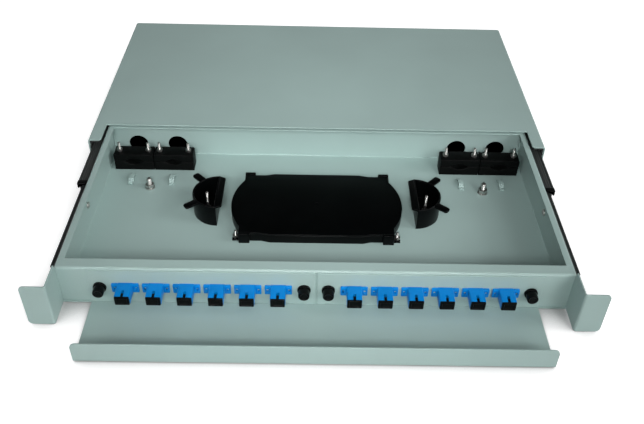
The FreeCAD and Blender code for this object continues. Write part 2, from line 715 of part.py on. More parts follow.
# A spring clip that straddles the adapter and bears on the back of its plate
def build_clip(x):
    left = x - ADAPTER_WIDTH / 2
    right = x + ADAPTER_WIDTH / 2
    low = AXIS_Z - ADAPTER_TALL / 2
    high = AXIS_Z + ADAPTER_TALL / 2
    start = FACE + GAUGE
    path = [(left, low), (left, high), (right, high), (right, low)]
    strip = folded_face(path, LEFT, in_xz(start), gauge=CLIP_GAUGE, bend=CLIP_GAUGE / 2)
    return strip.extrude(vec(0, CLIP_WIDE, 0)).cut(box(left, right, start, start + CLIP_WIDE, low, high))


# A dust cap: an outer plate and a plug that fits the port; away is +1 at the rear port
def build_cap(x, mouth, away):
    half_wide = ADAPTER_WIDTH / 2 - CAP_INSET
    half_tall = ADAPTER_TALL / 2 - CAP_INSET
    plate = port_box(x, half_wide, half_tall, mouth, mouth + away * CAP_PLATE)
    plug = port_box(x, PORT_WIDE / 2 - CAP_GAP, PORT_TALL / 2 - CAP_GAP, mouth, mouth - away * CAP_PLUG)
    return fuse([plate, plug])


def build_caps(side, mouth, away):
    return [build_cap(x, mouth, away) for x in port_places(side)]


# A grommet, turned about its axis: a chamfered collar and a barrel with a bore
def build_grommet(x):
    front = FACE - COLLAR_THICK
    collar = rod(COLLAR_RADIUS, COLLAR_THICK, vec(x, front, AXIS_Z), Y_AXIS)
    rim = [edge for edge in collar.Edges if all(point.Y < front + FIT for point in edge.Vertexes)]
    barrel = rod(BARREL_RADIUS, BARREL_LONG, vec(x, FACE, AXIS_Z), Y_AXIS)
    bore = rod(PIN_RADIUS + PLUNGER_GAP, COLLAR_THICK + BARREL_LONG, vec(x, front, AXIS_Z), Y_AXIS)
    return fuse([collar.makeChamfer(KNOB_EDGE, rim), barrel]).cut(bore)


# A plunger, turned about its axis: knob, shank and tapered tip
def build_plunger(x):
    back = -COLLAR_THICK - PLUNGER_GAP
    front = back - KNOB_LONG
    steps = [((front, KNOB_RADIUS - KNOB_EDGE),), ((front + KNOB_EDGE, KNOB_RADIUS),), ((back, KNOB_RADIUS),),
             ((back, PIN_RADIUS),), ((PIN_TAIL - PIN_TIP, PIN_RADIUS),), ((PIN_TAIL, PIN_RADIUS / 2),),
             ((PIN_TAIL, 0),), ((front, 0),)]
    section = path_face((front, 0), steps, lambda a, b: vec(x, FACE + a, AXIS_Z + b))
    return section.revolve(vec(x, FACE, AXIS_Z), Y_AXIS, 360)


def clamp_stud_places():
    y = CLAMP_FRONT + CLAMP_DEEP / 2
    return [(x + step * CLAMP_STUD_PITCH / 2, y) for x in ENTRIES for step in (-1, 1)]


# Half a cable clamp: the two halves close on a lens-shaped opening
def build_clamp_half(x, upper):
    split = FLOOR + LENS_HEIGHT
    low = split + CLAMP_SPLIT / 2 if upper else FLOOR
    high = FLOOR + CLAMP_TALL if upper else split - CLAMP_SPLIT / 2
    edge = CLAMP_EDGE if upper else 0
    half = CLAMP_WIDE / 2
    block = rounded_face([(x - half, low, 0), (x + half, low, 0),
                          (x + half, high, edge), (x - half, high, edge)], in_xz(CLAMP_FRONT))
    left = (x - LENS_WIDE / 2, split)
    right = (x + LENS_WIDE / 2, split)
    lens = path_face(left, [((x, split + LENS_TALL / 2), right), ((x, split - LENS_TALL / 2), left)],
                     in_xz(CLAMP_FRONT))
    along = vec(0, CLAMP_DEEP, 0)
    cuts = [lens.extrude(along)]
    for stud_x, stud_y in clamp_stud_places():
        if abs(stud_x - x) < half:
            cuts.append(rod(STUD_RADIUS + STUD_HOLE_GAP, high - low, vec(stud_x, stud_y, low), Z_AXIS))
    return block.extrude(along).cut(group(cuts))


def build_clamps(side, upper):
    return group([build_clamp_half(x, upper) for x in ENTRIES if x * side > 0])


def earth_places():
    x = ENTRY_INNER + ENTRY_PITCH / 2
    return [(side * x, FACE + EARTH_FROM_FRONT) for side in (-1, 1)]


# A washer and a nut on each earth stud
def build_earth_nuts():
    hole = EARTH_STUD_RADIUS + RIVET_GAP
    pieces = []
    for x, y in earth_places():
        foot = vec(x, y, FLOOR)
        seat = FLOOR + EARTH_WASHER_THICK
        washer = rod(EARTH_WASHER_RADIUS, EARTH_WASHER_THICK, foot, Z_AXIS)
        pieces.append(washer.cut(rod(hole, EARTH_WASHER_THICK, foot, Z_AXIS)))
        pieces.append(hex_nut(EARTH_NUT_ACROSS_FLATS, EARTH_NUT_THICK, hole, x, y, seat))
    return group(pieces)


# The outline of the splice tray, with bowed ends and waisted sides, taken in evenly by an inset
def tray_face(inset, z):
    end_x = TRAY_END_X - inset
    bow = (TRAY_HALF_LONG - inset, 0)
    deep = TRAY_HALF_DEEP - inset
    waist = TRAY_WAIST_DEEP - inset
    quarter = [(TRAY_BULGE_X, deep), (TRAY_WAIST_X, waist), (end_x, waist), (end_x, TRAY_END_Y)]
    right = [(a, -b) for a, b in quarter] + [(a, b) for a, b in quarter[::-1]]
    outline = right + [(-a, -b) for a, b in right]
    steps = []
    for index in range(1, len(outline) + 1):
        a, b = outline[index % len(outline)]
        end = (a, TRAY_Y + b)
        if index % len(right) == len(quarter):
            steps.append(((math.copysign(bow[0], a), TRAY_Y), end))
        else:
            steps.append((end,))
    return path_face((outline[0][0], TRAY_Y + outline[0][1]), steps, in_xy(z))


def tray_stud_places():
    y = TRAY_Y - TRAY_WAIST_DEEP + FOOT_TAB_WIDE / 2
    return [(side * (TRAY_END_X + FOOT_TAB / 2), y) for side in (-1, 1)]


# The tray: a shallow dish with four corner posts and two foot tabs
def build_tray():
    walls = TRAY_TALL - LID_THICK
    dish = tray_face(0, FLOOR).extrude(vec(0, 0, walls))
    dish = dish.cut(tray_face(TRAY_WALL, FLOOR + TRAY_FLOOR).extrude(vec(0, 0, walls)))
    solids = [dish]
    holes = []
    for side_x in (-1, 1):
        for side_y in (-1, 1):
            near = TRAY_Y + side_y * TRAY_WAIST_DEEP
            solids.append(box(side_x * (TRAY_END_X - POST_WIDE), side_x * TRAY_END_X, near,
                              near + side_y * POST_DEEP, FLOOR, FLOOR + TRAY_TALL + POST_LIP))
    for x, y in tray_stud_places():
        side = math.copysign(1, x)
        solids.append(box(side * (TRAY_END_X - TRAY_WALL), side * (TRAY_END_X + FOOT_TAB),
                          y - FOOT_TAB_WIDE / 2, y + FOOT_TAB_WIDE / 2, FLOOR, FLOOR + TRAY_FLOOR))
        holes.append(rod(STUD_RADIUS + STUD_HOLE_GAP, TRAY_FLOOR, vec(x, y, FLOOR), Z_AXIS))
    return fuse(solids).cut(group(holes))


# The lid: a plate with a skirt that fits inside the tray's wall
def build_tray_lid():
    low = FLOOR + TRAY_TALL - LID_THICK - LID_SKIRT
    outer = TRAY_WALL + LID_GAP
    plate = tray_face(0, low + LID_SKIRT).extrude(vec(0, 0, LID_THICK))
    skirt = tray_face(outer, low).extrude(vec(0, 0, LID_SKIRT))
    skirt = skirt.cut(tray_face(outer + TRAY_WALL, low).extrude(vec(0, 0, LID_SKIRT)))
    return fuse([plate, skirt])


# The comb that holds the splice sleeves side by side
def build_comb():
    low = FLOOR + TRAY_FLOOR
    deep = COMB_PITCH * (COMB_RIBS - 1) + COMB_RIB
    start = TRAY_Y - deep / 2
    half = COMB_WIDE / 2
    solids = [box(-half, half, start, start + deep, low, low + COMB_RIB)]
    for k in range(COMB_RIBS):
        rib = start + k * COMB_PITCH
        solids.append(box(-half, half, rib, rib + COMB_RIB, low, low + COMB_TALL))
    return fuse(solids)


def spool_stud_places():
    return [(side * (SPOOL_X + SPOOL_STUD_X), SPOOL_Y) for side in (-1, 1)]


# Half a disc of the spool, cut off straight at a distance from its centre
def half_disc(radius, flat, z):
    reach = math.sqrt(radius ** 2 - flat ** 2)
    start = (SPOOL_X + flat, SPOOL_Y - reach)
    end = (SPOOL_X + flat, SPOOL_Y + reach)
    return path_face(start, [((SPOOL_X + radius, SPOOL_Y), end), (start,)], in_xy(z))


# The right spool: a half-round cup with two fingers outwards and a lip towards the tray
def build_spool():
    cup = half_disc(SPOOL_RADIUS, 0, FLOOR).extrude(vec(0, 0, SPOOL_TALL))
    hollow = half_disc(SPOOL_RADIUS - SPOOL_WALL, SPOOL_WALL, FLOOR + SPOOL_FLOOR)
    hollow = hollow.extrude(vec(0, 0, SPOOL_TALL))
    low = FLOOR + SPOOL_TALL - HORN_THICK
    slant = SPOOL_RADIUS - SPOOL_LIP_SLANT
    lip = rounded_face([(SPOOL_X, SPOOL_Y - SPOOL_RADIUS, 0), (SPOOL_X, SPOOL_Y + SPOOL_RADIUS, 0),
                        (SPOOL_X - SPOOL_LIP, SPOOL_Y + slant, 0), (SPOOL_X - SPOOL_LIP, SPOOL_Y - slant, 0)],
                       in_xy(low)).extrude(vec(0, 0, HORN_THICK))
    solids = [cup, lip]
    tip = SPOOL_RADIUS + FINGER_REACH
    half = FINGER_WIDE / 2
    outline = [(0, -half, 0), (tip, -half, FINGER_EDGE), (tip, half, FINGER_EDGE), (0, half, 0)]
    for turn in (FRONT_FINGER_ANGLE, REAR_FINGER_ANGLE):
        finger = rounded_face(outline, in_xy(low)).extrude(vec(0, 0, HORN_THICK))
        finger.rotate(vec(0, 0, 0), Z_AXIS, turn)
        finger.translate(vec(SPOOL_X, SPOOL_Y, 0))
        solids.append(finger)
    hole = rod(STUD_RADIUS + STUD_HOLE_GAP, SPOOL_FLOOR, vec(SPOOL_X + SPOOL_STUD_X, SPOOL_Y, FLOOR), Z_AXIS)
    return fuse(solids).cut(group([hollow, hole]))


def build_floor_studs():
    pieces = studs(STUD_RADIUS, CLAMP_TALL + CLAMP_STUD_RISE, clamp_stud_places())
    pieces += studs(STUD_RADIUS, TRAY_FLOOR + TRAY_STUD_RISE, tray_stud_places())
    pieces += studs(STUD_RADIUS, SPOOL_STUD_TALL, spool_stud_places())
    return group(pieces)


def build_small_nuts():
    nuts = small_nuts(clamp_stud_places(), FLOOR + CLAMP_TALL)
    nuts += small_nuts(tray_stud_places(), FLOOR + TRAY_FLOOR)
    nuts += small_nuts(spool_stud_places(), FLOOR + SPOOL_FLOOR)
    return group(nuts)


def build_adapters():
    parts = {}
    ports = [x for side in SIDES.values() for x in port_places(side)]
    for number, x in enumerate(ports, 1):
        parts["adapter_%02d" % number] = build_adapter(x)
    parts["alignment_sleeves"] = group([build_sleeve(x) for x in ports])
    parts["adapter_clips"] = group([build_clip(x) for x in ports])
    parts["rear_dust_caps"] = group([cap for side in SIDES.values()
                                     for cap in build_caps(side, FACE + ADAPTER_REAR, 1)])
    return parts


def build_mirrored_pairs():
    right = {
        "outer_slide": build_outer_slide(),
        "middle_slide": build_middle_slide(),
        "slide_bumper": build_bumper(),
        "inner_slide": build_inner_slide(),
        "outer_ball_cage": build_outer_cage(),
        "outer_balls": build_balls(OUTER_RACE, OUTER_BALL_Z, OUTER_CAGE_Y, OUTER_CAGE_LENGTH),
        "inner_ball_cage": build_inner_cage(),
        "inner_balls": build_balls(INNER_RACE, INNER_BALL_Z, INNER_CAGE_Y, INNER_CAGE_LENGTH),
        "fibre_spool": build_spool(),
    }
    parts = {}
    for name, shape in right.items():
        parts[name + "_right"] = shape
        parts[name + "_left"] = mirrored(shape)
    return parts


def build_parts():
    parts = {"housing_cover": build_housing(), "slide_rivets": build_rivets()}
    parts.update(build_mirrored_pairs())
    parts["drawer_tray"] = build_drawer()
    parts["front_frame"] = build_frame()
    parts["inner_slide_screws"] = build_wall_screws()
    parts.update(build_adapters())
    for name, side in SIDES.items():
        parts["adapter_plate_" + name] = build_plate(side)
        parts["front_dust_caps_" + name] = group(build_caps(side, FACE - ADAPTER_FRONT, -1))
        parts["cable_clamp_lowers_" + name] = build_clamps(side, False)
        parts["cable_clamp_uppers_" + name] = build_clamps(side, True)
    parts["plunger_grommets"] = group([build_grommet(x) for x in plunger_places()])
    for number, x in enumerate(plunger_places(), 1):
        parts["plunger_%d" % number] = build_plunger(x)
    parts["splice_tray"] = build_tray()
    parts["splice_tray_lid"] = build_tray_lid()
    parts["splice_comb"] = build_comb()
    parts["tie_saddles"] = group([build_saddle(x) for x in ENTRIES])
    parts["floor_studs"] = build_floor_studs()
    parts["earth_studs"] = group(studs(EARTH_STUD_RADIUS, EARTH_STUD_TALL, earth_places()))
    parts["small_nuts"] = build_small_nuts()
    parts["earth_nuts"] = build_earth_nuts()
    return parts


os.makedirs("parts", exist_ok=True)
for node, shape in build_parts().items():
    shape.exportStep("parts/%s.step" % node)
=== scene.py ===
"""Looks of a sliding fibre patch panel with its drawer pulled out.

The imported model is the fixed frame. Sheet parts and slides keep their solids and get painted or coated
finishes; the small moulded, turned and threaded pieces are worked out again as finer surfaces in the same
places. Lengths of pieces are millimetres; finished meshes, finishes, lamps and the studio are in metres.
"""

import json
import logging
import math
from collections.abc import Sequence
from dataclasses import dataclass
from enum import Enum

import bmesh
import bpy
import numpy as np
from mathutils import Matrix, Vector


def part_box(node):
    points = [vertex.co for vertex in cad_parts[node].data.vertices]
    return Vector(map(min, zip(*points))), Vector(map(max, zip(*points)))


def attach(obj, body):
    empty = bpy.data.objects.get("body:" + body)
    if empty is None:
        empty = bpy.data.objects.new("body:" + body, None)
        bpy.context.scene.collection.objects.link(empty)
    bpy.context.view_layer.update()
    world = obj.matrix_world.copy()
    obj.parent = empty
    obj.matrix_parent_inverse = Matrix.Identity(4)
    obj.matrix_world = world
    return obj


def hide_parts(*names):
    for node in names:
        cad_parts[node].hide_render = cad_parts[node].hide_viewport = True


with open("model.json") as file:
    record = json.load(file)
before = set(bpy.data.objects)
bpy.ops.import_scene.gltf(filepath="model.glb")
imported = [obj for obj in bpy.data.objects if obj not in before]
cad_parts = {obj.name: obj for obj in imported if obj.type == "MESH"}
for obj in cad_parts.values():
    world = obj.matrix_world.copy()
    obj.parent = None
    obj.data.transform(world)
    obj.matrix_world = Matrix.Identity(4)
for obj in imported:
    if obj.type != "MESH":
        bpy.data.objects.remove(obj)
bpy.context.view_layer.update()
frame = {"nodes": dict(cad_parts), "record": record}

MM = 0.001
TINY = 1e-7
LEAST_MITRE = 0.4
CUP_RIM_ROWS = 7
FULL_TURN = 2 * math.pi
QUARTER_TURN = math.pi / 2
LOG = logging.getLogger("patch_panel")

Point = Sequence[float]
Colour = tuple[float, float, float]
Socket = bpy.types.NodeSocket


class Along(Enum):
    """Axis that a profile is carried along: which of its own three numbers goes to X, to Y and to Z."""

    X = (2, 0, 1)
    Y = (0, 2, 1)
    Z = (0, 1, 2)

    def carry(self, local: np.ndarray, place: Point) -> np.ndarray:
        """Local (across, up, along) numbers as X, Y, Z, moved to a place."""
        return local[..., list(self.value)] + np.asarray(place, float)


class Named(Enum):
    """A choice whose name is a part of node names."""

    @property
    def word(self) -> str:
        """The name, as nodes have it."""
        return self.name.lower()


class Side(Named):
    """Side of the panel, with the sign of its X."""

    LEFT = -1
    RIGHT = 1


class Half(Named):
    """Half of the cable clamps, with the sign of Z on its closed side."""

    LOWERS = -1
    UPPERS = 1


class Facing(Enum):
    """End of its box that a dust cap's plate is at, with the sign of Y from the plate to the plug."""

    FRONT = 1
    REAR = -1


@dataclass(frozen=True)
class Box:
    """Box of a node or of one solid in millimetres, by its lowest and highest corner."""

    low: np.ndarray
    high: np.ndarray

    @property
    def size(self) -> np.ndarray:
        """Its length on each axis."""
        return self.high - self.low

    @property
    def half(self) -> np.ndarray:
        """Half its length on each axis."""
        return self.size / 2

    @property
    def centre(self) -> np.ndarray:
        """Its middle."""
        return (self.low + self.high) / 2

    @property
    def foot(self) -> np.ndarray:
        """Middle of its underside."""
        return np.array([*self.centre[:2], self.low[2]])

    @property
    def axis(self) -> np.ndarray:
        """The point at Y = 0 on the line along Y through its middle."""
        return np.array([self.centre[0], 0, self.centre[2]])


@dataclass
class Shell:
    """A closed surface: points in millimetres, four-sided faces, and the flat caps that shut its ends."""

    points: np.ndarray
    quads: np.ndarray
    caps: list[np.ndarray]

    def outward(self) -> "Shell":
        """Turn the faces outwards: tetrahedra from the middle to every face add up to the signed volume.

        Returns:
            The same surface, with its faces reversed if that volume was negative.
        """
        centred = self.points - self.points.mean(axis=0)
        a, b, c, d = (centred[self.quads[:, corner]] for corner in range(4))
        volume = float(np.sum(a * (np.cross(b, c) + np.cross(c, d))))
        for cap in self.caps:
            ring = centred[cap]
            volume += float(ring[0] @ np.cross(ring[1:-1], ring[2:]).sum(axis=0))
        if volume >= 0:
            return self
        return Shell(self.points, self.quads[:, ::-1], [cap[::-1] for cap in self.caps])

    def mirrored(self, side: Side) -> "Shell":
        """The surface itself on the right, or its mirror image about X = 0 on the left."""
        return Shell(self.points * (side.value, 1, 1), self.quads, self.caps).outward()

    def faces(self, first: int) -> list[list[int]]:
        """Point numbers of every face, counted on from the first."""
        return (self.quads + first).tolist() + [(cap + first).tolist() for cap in self.caps]


def loft(loops: np.ndarray, closed: bool = False) -> Shell:
    """Join a stack of loops into one closed surface.

    Point (i, j) is point j of loop i. Each face joins points j and j + 1 of loops i and i + 1, and j runs
    round. An open stack is shut by flat caps, unless an end has shrunk to a pole; a closed one joins its
    last loop to its first.

    Args:
        loops: Array of loops by points by three numbers.
        closed: Whether the stack runs round into itself.

    Returns:
        The surface, with its faces outwards.
    """
    rows, count = loops.shape[:2]
    number = np.arange(rows * count).reshape(rows, count)
    near, far = (number, np.roll(number, -1, axis=0)) if closed else (number[:-1], number[1:])
    quads = np.stack([near, np.roll(near, -1, axis=1), np.roll(far, -1, axis=1), far], axis=-1)
    points = loops.reshape(-1, 3)
    ends = [] if closed else [number[0][::-1], number[-1]]
    caps = [end for end in ends if np.ptp(points[end], axis=0).max() > TINY]
    return Shell(points, quads.reshape(-1, 4), caps).outward()


def layered(loops: Sequence[np.ndarray], heights: Point, along: Along, place: Point,
            closed: bool = False) -> Shell:
    """Loft of flat loops: point (a, b) of loop i becomes (a, b, height i), carried along the axis.

    Args:
        loops: Flat loops, all of as many points.
        heights: Height of each loop.
        along: Axis of the heights.
        place: Where the loops' origin goes.
        closed: Whether the stack runs round into itself.

    Returns:
        The closed surface.
    """
    flat = np.stack(loops)
    level = np.broadcast_to(np.asarray(heights, float)[:, None, None], flat.shape[:2] + (1,))
    return loft(along.carry(np.concatenate([flat, level], axis=-1), place), closed)


def filleted(corners: Sequence[Point], steps: int = 5) -> np.ndarray:
    """Outline through corners whose tips are rounded.

    A corner C with setback s is replaced by the conic ((1-t)^2 A + 2t(1-t) w C + t^2 B) over the sum of its
    weights, from A to B at distance s before and after C; w is the sine of half the corner's angle, which
    gives an arc.

    Args:
        corners: Rows of (across, up, setback), in order round the outline.
        steps: Points on each rounded corner.

    Returns:
        Outline points, with no point twice in a row.
    """
    table = np.asarray(corners, float)
    tip, setback = table[:, :2], table[:, 2:]
    before = np.roll(tip, 1, axis=0) - tip
    after = np.roll(tip, -1, axis=0) - tip
    before /= np.linalg.norm(before, axis=1, keepdims=True)
    after /= np.linalg.norm(after, axis=1, keepdims=True)
    weight = np.sqrt((1 - np.sum(before * after, axis=1)) / 2)[:, None, None]
    t = np.linspace(0, 1, steps)[None, :, None]
    first, middle, last = (1 - t) ** 2, 2 * t * (1 - t) * weight, t ** 2
    start, end = tip + before * setback, tip + after * setback
    curve = first * start[:, None] + middle * tip[:, None] + last * end[:, None]
    points = (curve / (first + middle + last)).reshape(-1, 2)
    apart = np.linalg.norm(np.roll(points, -1, axis=0) - points, axis=1) > TINY
    return points[apart]


def rectangle(half_wide: float, half_tall: float, setback: float, steps: int = 5) -> np.ndarray:
    """Rectangle about the origin with rounded corners, counter-clockwise from its lower right."""
    corners = [(1, -1), (1, 1), (-1, 1), (-1, -1)]
    return filleted([(a * half_wide, b * half_tall, setback) for a, b in corners], steps)


def inset(outline: np.ndarray, distance: float) -> np.ndarray:
    """Counter-clockwise outline moved inwards.

    Each point goes along the sum m of its two edges' inward normals, by 2 distance m over m squared, so that
    both edges move by the distance.

    Args:
        outline: Points of the outline.
        distance: How far its edges move; negative moves them out.

    Returns:
        The moved points.
    """
    edge = np.roll(outline, -1, axis=0) - outline
    normal = np.stack([-edge[:, 1], edge[:, 0]], axis=-1) / np.linalg.norm(edge, axis=1, keepdims=True)
    mitre = normal + np.roll(normal, 1, axis=0)
    square = np.maximum(np.sum(mitre ** 2, axis=1, keepdims=True), LEAST_MITRE)
    return outline + 2 * distance * mitre / square


def stacked(outline: np.ndarray, rows: Sequence[Point], along: Along, place: Point) -> Shell:
    """Loft of one counter-clockwise outline: row (d, h) is the outline moved inwards by d, at height h."""
    distances, heights = zip(*rows)
    return layered([inset(outline, distance) for distance in distances], heights, along, place)


def rim_rows(edge: float, end: float, inward: float, steps: int = 4) -> list[tuple[float, float]]:
    """Rows of a rounded rim, from its flat end outwards.

    Row t, from 0 to a quarter turn, is moved in by edge (1 - sin t), at edge (1 - cos t) from the end.

    Args:
        edge: Radius of the rim; with 0 there is one row.
        end: Height of the flat end.
        inward: +1 if the piece lies above the end, -1 if below.
        steps: Rows.

    Returns:
        Pairs of inset and height.
    """
    if not edge:
        return [(0.0, end)]
    turn = np.linspace(0, QUARTER_TURN, steps)
    return list(zip(edge * (1 - np.sin(turn)), end + inward * edge * (1 - np.cos(turn))))


def prism(outline: np.ndarray, start: float, end: float, edges: Point, along: Along, place: Point) -> Shell:
    """Counter-clockwise outline carried straight from start to end, with a rounded rim at each end."""
    rows = rim_rows(edges[0], start, 1) + rim_rows(edges[1], end, -1)[::-1]
    return stacked(outline, rows, along, place)


def cup(outline: np.ndarray, low: float, high: float, wall: float, floor: float, place: Point) -> Shell:
    """Open cup: up the outside, over a half-round rim, down the inside, and a floor.

    The rim's row t, from 0 to half a turn, is moved in by wall/2 (1 - cos t), at wall/2 sin t above its
    foot, and the inside meets the floor in a hollow of half the wall, in two straight steps.

    Args:
        outline: Counter-clockwise outside of the cup.
        low: Foot.
        high: Top of the rim.
        wall: Thickness of the wall.
        floor: Thickness of the floor.
        place: Where the outline's origin goes.

    Returns:
        The closed surface.
    """
    turn = np.linspace(0, math.pi, CUP_RIM_ROWS)
    half, bottom = wall / 2, low + floor
    rim = zip(half * (1 - np.cos(turn)), high - half + half * np.sin(turn))
    inside = [(wall, bottom + half), (wall + half / 3, bottom + half / 3), (wall + half, bottom)]
    return stacked(outline, rim_rows(half / 2, low, 1) + list(rim) + inside, Along.Z, place)


def angles(count: int) -> np.ndarray:
    """Angles of as many points, evenly spaced round a full turn."""
    return np.arange(count) * FULL_TURN / count


def turned(radius: np.ndarray, height: np.ndarray | float, angle: np.ndarray) -> np.ndarray:
    """Grid of points (r cos a, r sin a, h) for every angle a.

    Args:
        radius: Radius r of each row, or of each point.
        height: Height h of each row, or of each point.
        angle: The angles.

    Returns:
        Array of rows by points by three numbers.
    """
    return np.stack(np.broadcast_arrays(radius * np.cos(angle), radius * np.sin(angle), height), axis=-1)


def lathe(profile: Sequence[Point], along: Along, place: Point, count: int, closed: bool = False) -> Shell:
    """Profile turned round an axis: point (r, d) becomes (r cos a, r sin a, d) for every angle a.

    Args:
        profile: Pairs of radius and distance along the axis.
        along: The axis.
        place: Where its origin goes.
        count: Points round.
        closed: Whether the profile runs back into its start, as on a bored piece.

    Returns:
        The closed surface.
    """
    radius, distance = np.asarray(profile, float).T[..., None]
    return loft(along.carry(turned(radius, distance, angles(count)), place), closed)


def holed_plate(outline: np.ndarray, hole: Point, radius: float, start: float, end: float, edge: float,
                along: Along, place: Point) -> Shell:
    """Plate with one round hole: a loft that runs round from the outline to the hole and back.

    The hole's point j lies in the direction of the outline's point j, seen from the hole's centre.

    Args:
        outline: Counter-clockwise outside.
        hole: Centre of the hole, across and up.
        radius: Radius of the hole.
        start: Front face.
        end: Back face.
        edge: Rim radius at the front face; the hole is eased by half as much.
        along: Axis of the thickness.
        place: Where the outline's origin goes.

    Returns:
        The closed surface.
    """
    bearing = np.arctan2(outline[:, 1] - hole[1], outline[:, 0] - hole[0])
    circle = np.stack([np.cos(bearing), np.sin(bearing)], axis=-1)
    rim = rim_rows(edge, start, 1)
    loops = [inset(outline, distance) for distance, _ in rim] + [outline]
    loops += [hole + reach * circle for reach in (radius, radius, radius + edge / 2)]
    heights = [height for _, height in rim] + [end, end, start + edge / 2, start]
    return layered(loops, heights, along, place, closed=True)


def node_box(node: str) -> Box:
    """Box of a CAD node."""
    return Box(*(np.array(corner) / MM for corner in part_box(node)))


def solid_boxes(node: str) -> list[Box]:
    """Boxes of a node's separate solids.

    Triangles that meet at a point share the least label of their points; labels spread until none changes.

    Args:
        node: Name of the CAD node.

    Returns:
        The boxes, in order of X and then Y.
    """
    mesh = frame["nodes"][node].data
    mesh.calc_loop_triangles()
    places = np.empty(len(mesh.vertices) * 3, np.float32)
    mesh.vertices.foreach_get("co", places)
    corners = np.empty(len(mesh.loop_triangles) * 3, np.int32)
    mesh.loop_triangles.foreach_get("vertices", corners)
    points, same = np.unique(np.round(places.reshape(-1, 3) / MM, 3), axis=0, return_inverse=True)
    triangles = same.ravel()[corners].reshape(-1, 3)
    label = np.arange(len(points))
    while True:
        spread = label.copy()
        np.minimum.at(spread, triangles, label[triangles].min(axis=1, keepdims=True))
        spread = spread[spread]
        if np.array_equal(spread, label):
            break
        label = spread
    _, solid = np.unique(label, return_inverse=True)
    low = np.full((solid.max() + 1, 3), np.inf)
    high = -low
    np.minimum.at(low, solid, points)
    np.maximum.at(high, solid, points)
    return [Box(low[number], high[number]) for number in np.lexsort((low[:, 1], low[:, 0]))]


def body_of(node: str) -> str:
    """Body that carries a CAD node."""
    return next(body for body, nodes in frame["record"]["behaviour"]["bodies"].items() if node in nodes)


def slot_of(node: str) -> str:
    """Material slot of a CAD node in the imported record."""
    return next(part["material_slot"] for part in frame["record"]["subparts"] if part["node"] == node)


class Graph:
    """Shader nodes of a material or of the world, while they are made."""

    edge_samples: int = 6
    sharp_lean: float = 0.75
    flat_lean: float = 0.99

    def __init__(self, owner: bpy.types.Material | bpy.types.World) -> None:
        """Clear the owner's nodes, and start with its coordinates.

        Args:
            owner: The material or the world.
        """
        owner.use_nodes = True
        self.owner = owner
        self.tree = owner.node_tree
        self.tree.nodes.clear()
        coordinates = self.node("ShaderNodeTexCoord").outputs
        self.place, self.heading = coordinates["Object"], coordinates["Generated"]

    def node(self, kind: str, inputs: dict | None = None, **settings: object) -> bpy.types.Node:
        """Add a node.

        Args:
            kind: Type of the node.
            inputs: For each socket, a value, or the output socket to link to it.
            settings: The node's own options.

        Returns:
            The node.
        """
        node = self.tree.nodes.new(kind)
        for option, value in settings.items():
            setattr(node, option, value)
        for socket, value in (inputs or {}).items():
            if isinstance(value, Socket):
                self.tree.links.new(value, node.inputs[socket])
            else:
                node.inputs[socket].default_value = value
        return node

    def noise(self, scale: float, detail: float = 2.0, stretch: Point = (1, 1, 1)) -> Socket:
        """Noise over the piece, from 0 to 1.

        Args:
            scale: Cells to the metre.
            detail: Octaves.
            stretch: Factor on each axis; a small one draws the noise out along it.

        Returns:
            Its value.
        """
        place = self.node("ShaderNodeMapping", {"Vector": self.place, "Scale": stretch}).outputs["Vector"]
        inputs = {"Vector": place, "Scale": scale, "Detail": detail}
        return self.node("ShaderNodeTexNoise", inputs).outputs["Fac"]

    def between(self, value: Socket, low: float, high: float, least: float = 0.3,
                most: float = 0.7) -> Socket:
        """Value spread over a range, from low where it is the least to high where it is the most."""
        limits = {"From Min": least, "From Max": most, "To Min": low, "To Max": high}
        return self.node("ShaderNodeMapRange", {"Value": value, **limits}).outputs["Result"]

    def blend(self, share: Socket, first: object, second: object) -> Socket:
        """Mix of two colours, which a Mix node has at 6 and 7, by a share that varies over the surface."""
        return self.node("ShaderNodeMix", {0: share, 6: first, 7: second}, data_type="RGBA").outputs[2]

    def maths(self, operation: str, *values: Socket) -> Socket:
        """Number worked out from others that vary over the surface."""
        return self.node("ShaderNodeMath", dict(enumerate(values)), operation=operation).outputs[0]

    def edges(self, radius: float) -> tuple[Socket, Socket]:
        """Softened normal, and how far it leans from the true one.

        Args:
            radius: Radius of the softened edge.

        Returns:
            The normal, and a number from 0 on flats to 1 on sharp edges.
        """
        soft = self.node("ShaderNodeBevel", {"Radius": radius}, samples=self.edge_samples).outputs["Normal"]
        true = self.node("ShaderNodeNewGeometry").outputs["Normal"]
        lean = self.node("ShaderNodeVectorMath", {0: soft, 1: true}, operation="DOT_PRODUCT").outputs
        return soft, self.between(lean["Value"], 1.0, 0.0, self.sharp_lean, self.flat_lean)

    def bump(self, height: Socket, strength: float, distance: float, normal: Socket) -> Socket:
        """Normal bent by a height that varies over the surface."""
        inputs = {"Height": height, "Strength": strength, "Distance": distance, "Normal": normal}
        return self.node("ShaderNodeBump", inputs).outputs["Normal"]

    def shade(self, **sockets: object) -> bpy.types.Material:
        """Finish the material with a surface shader.

        Args:
            sockets: Shader sockets, with underscores for spaces.

        Returns:
            The material.
        """
        inputs = {name.replace("_", " "): value for name, value in sockets.items()}
        surface = self.node("ShaderNodeBsdfPrincipled", inputs).outputs["BSDF"]
        self.node("ShaderNodeOutputMaterial", {"Surface": surface})
        return self.owner


@dataclass(frozen=True)
class Pattern:
    """Noises of a texture: its cloud's cells to the metre, and specks and relief by the finish's grain."""

    specks: float
    relief: float
    relief_detail: float
    relief_stretch: Point = (1, 1, 1)
    cloud: float = 0.0
    cloud_detail: float = 2.0
    cloud_stretch: Point = (1, 1, 1)


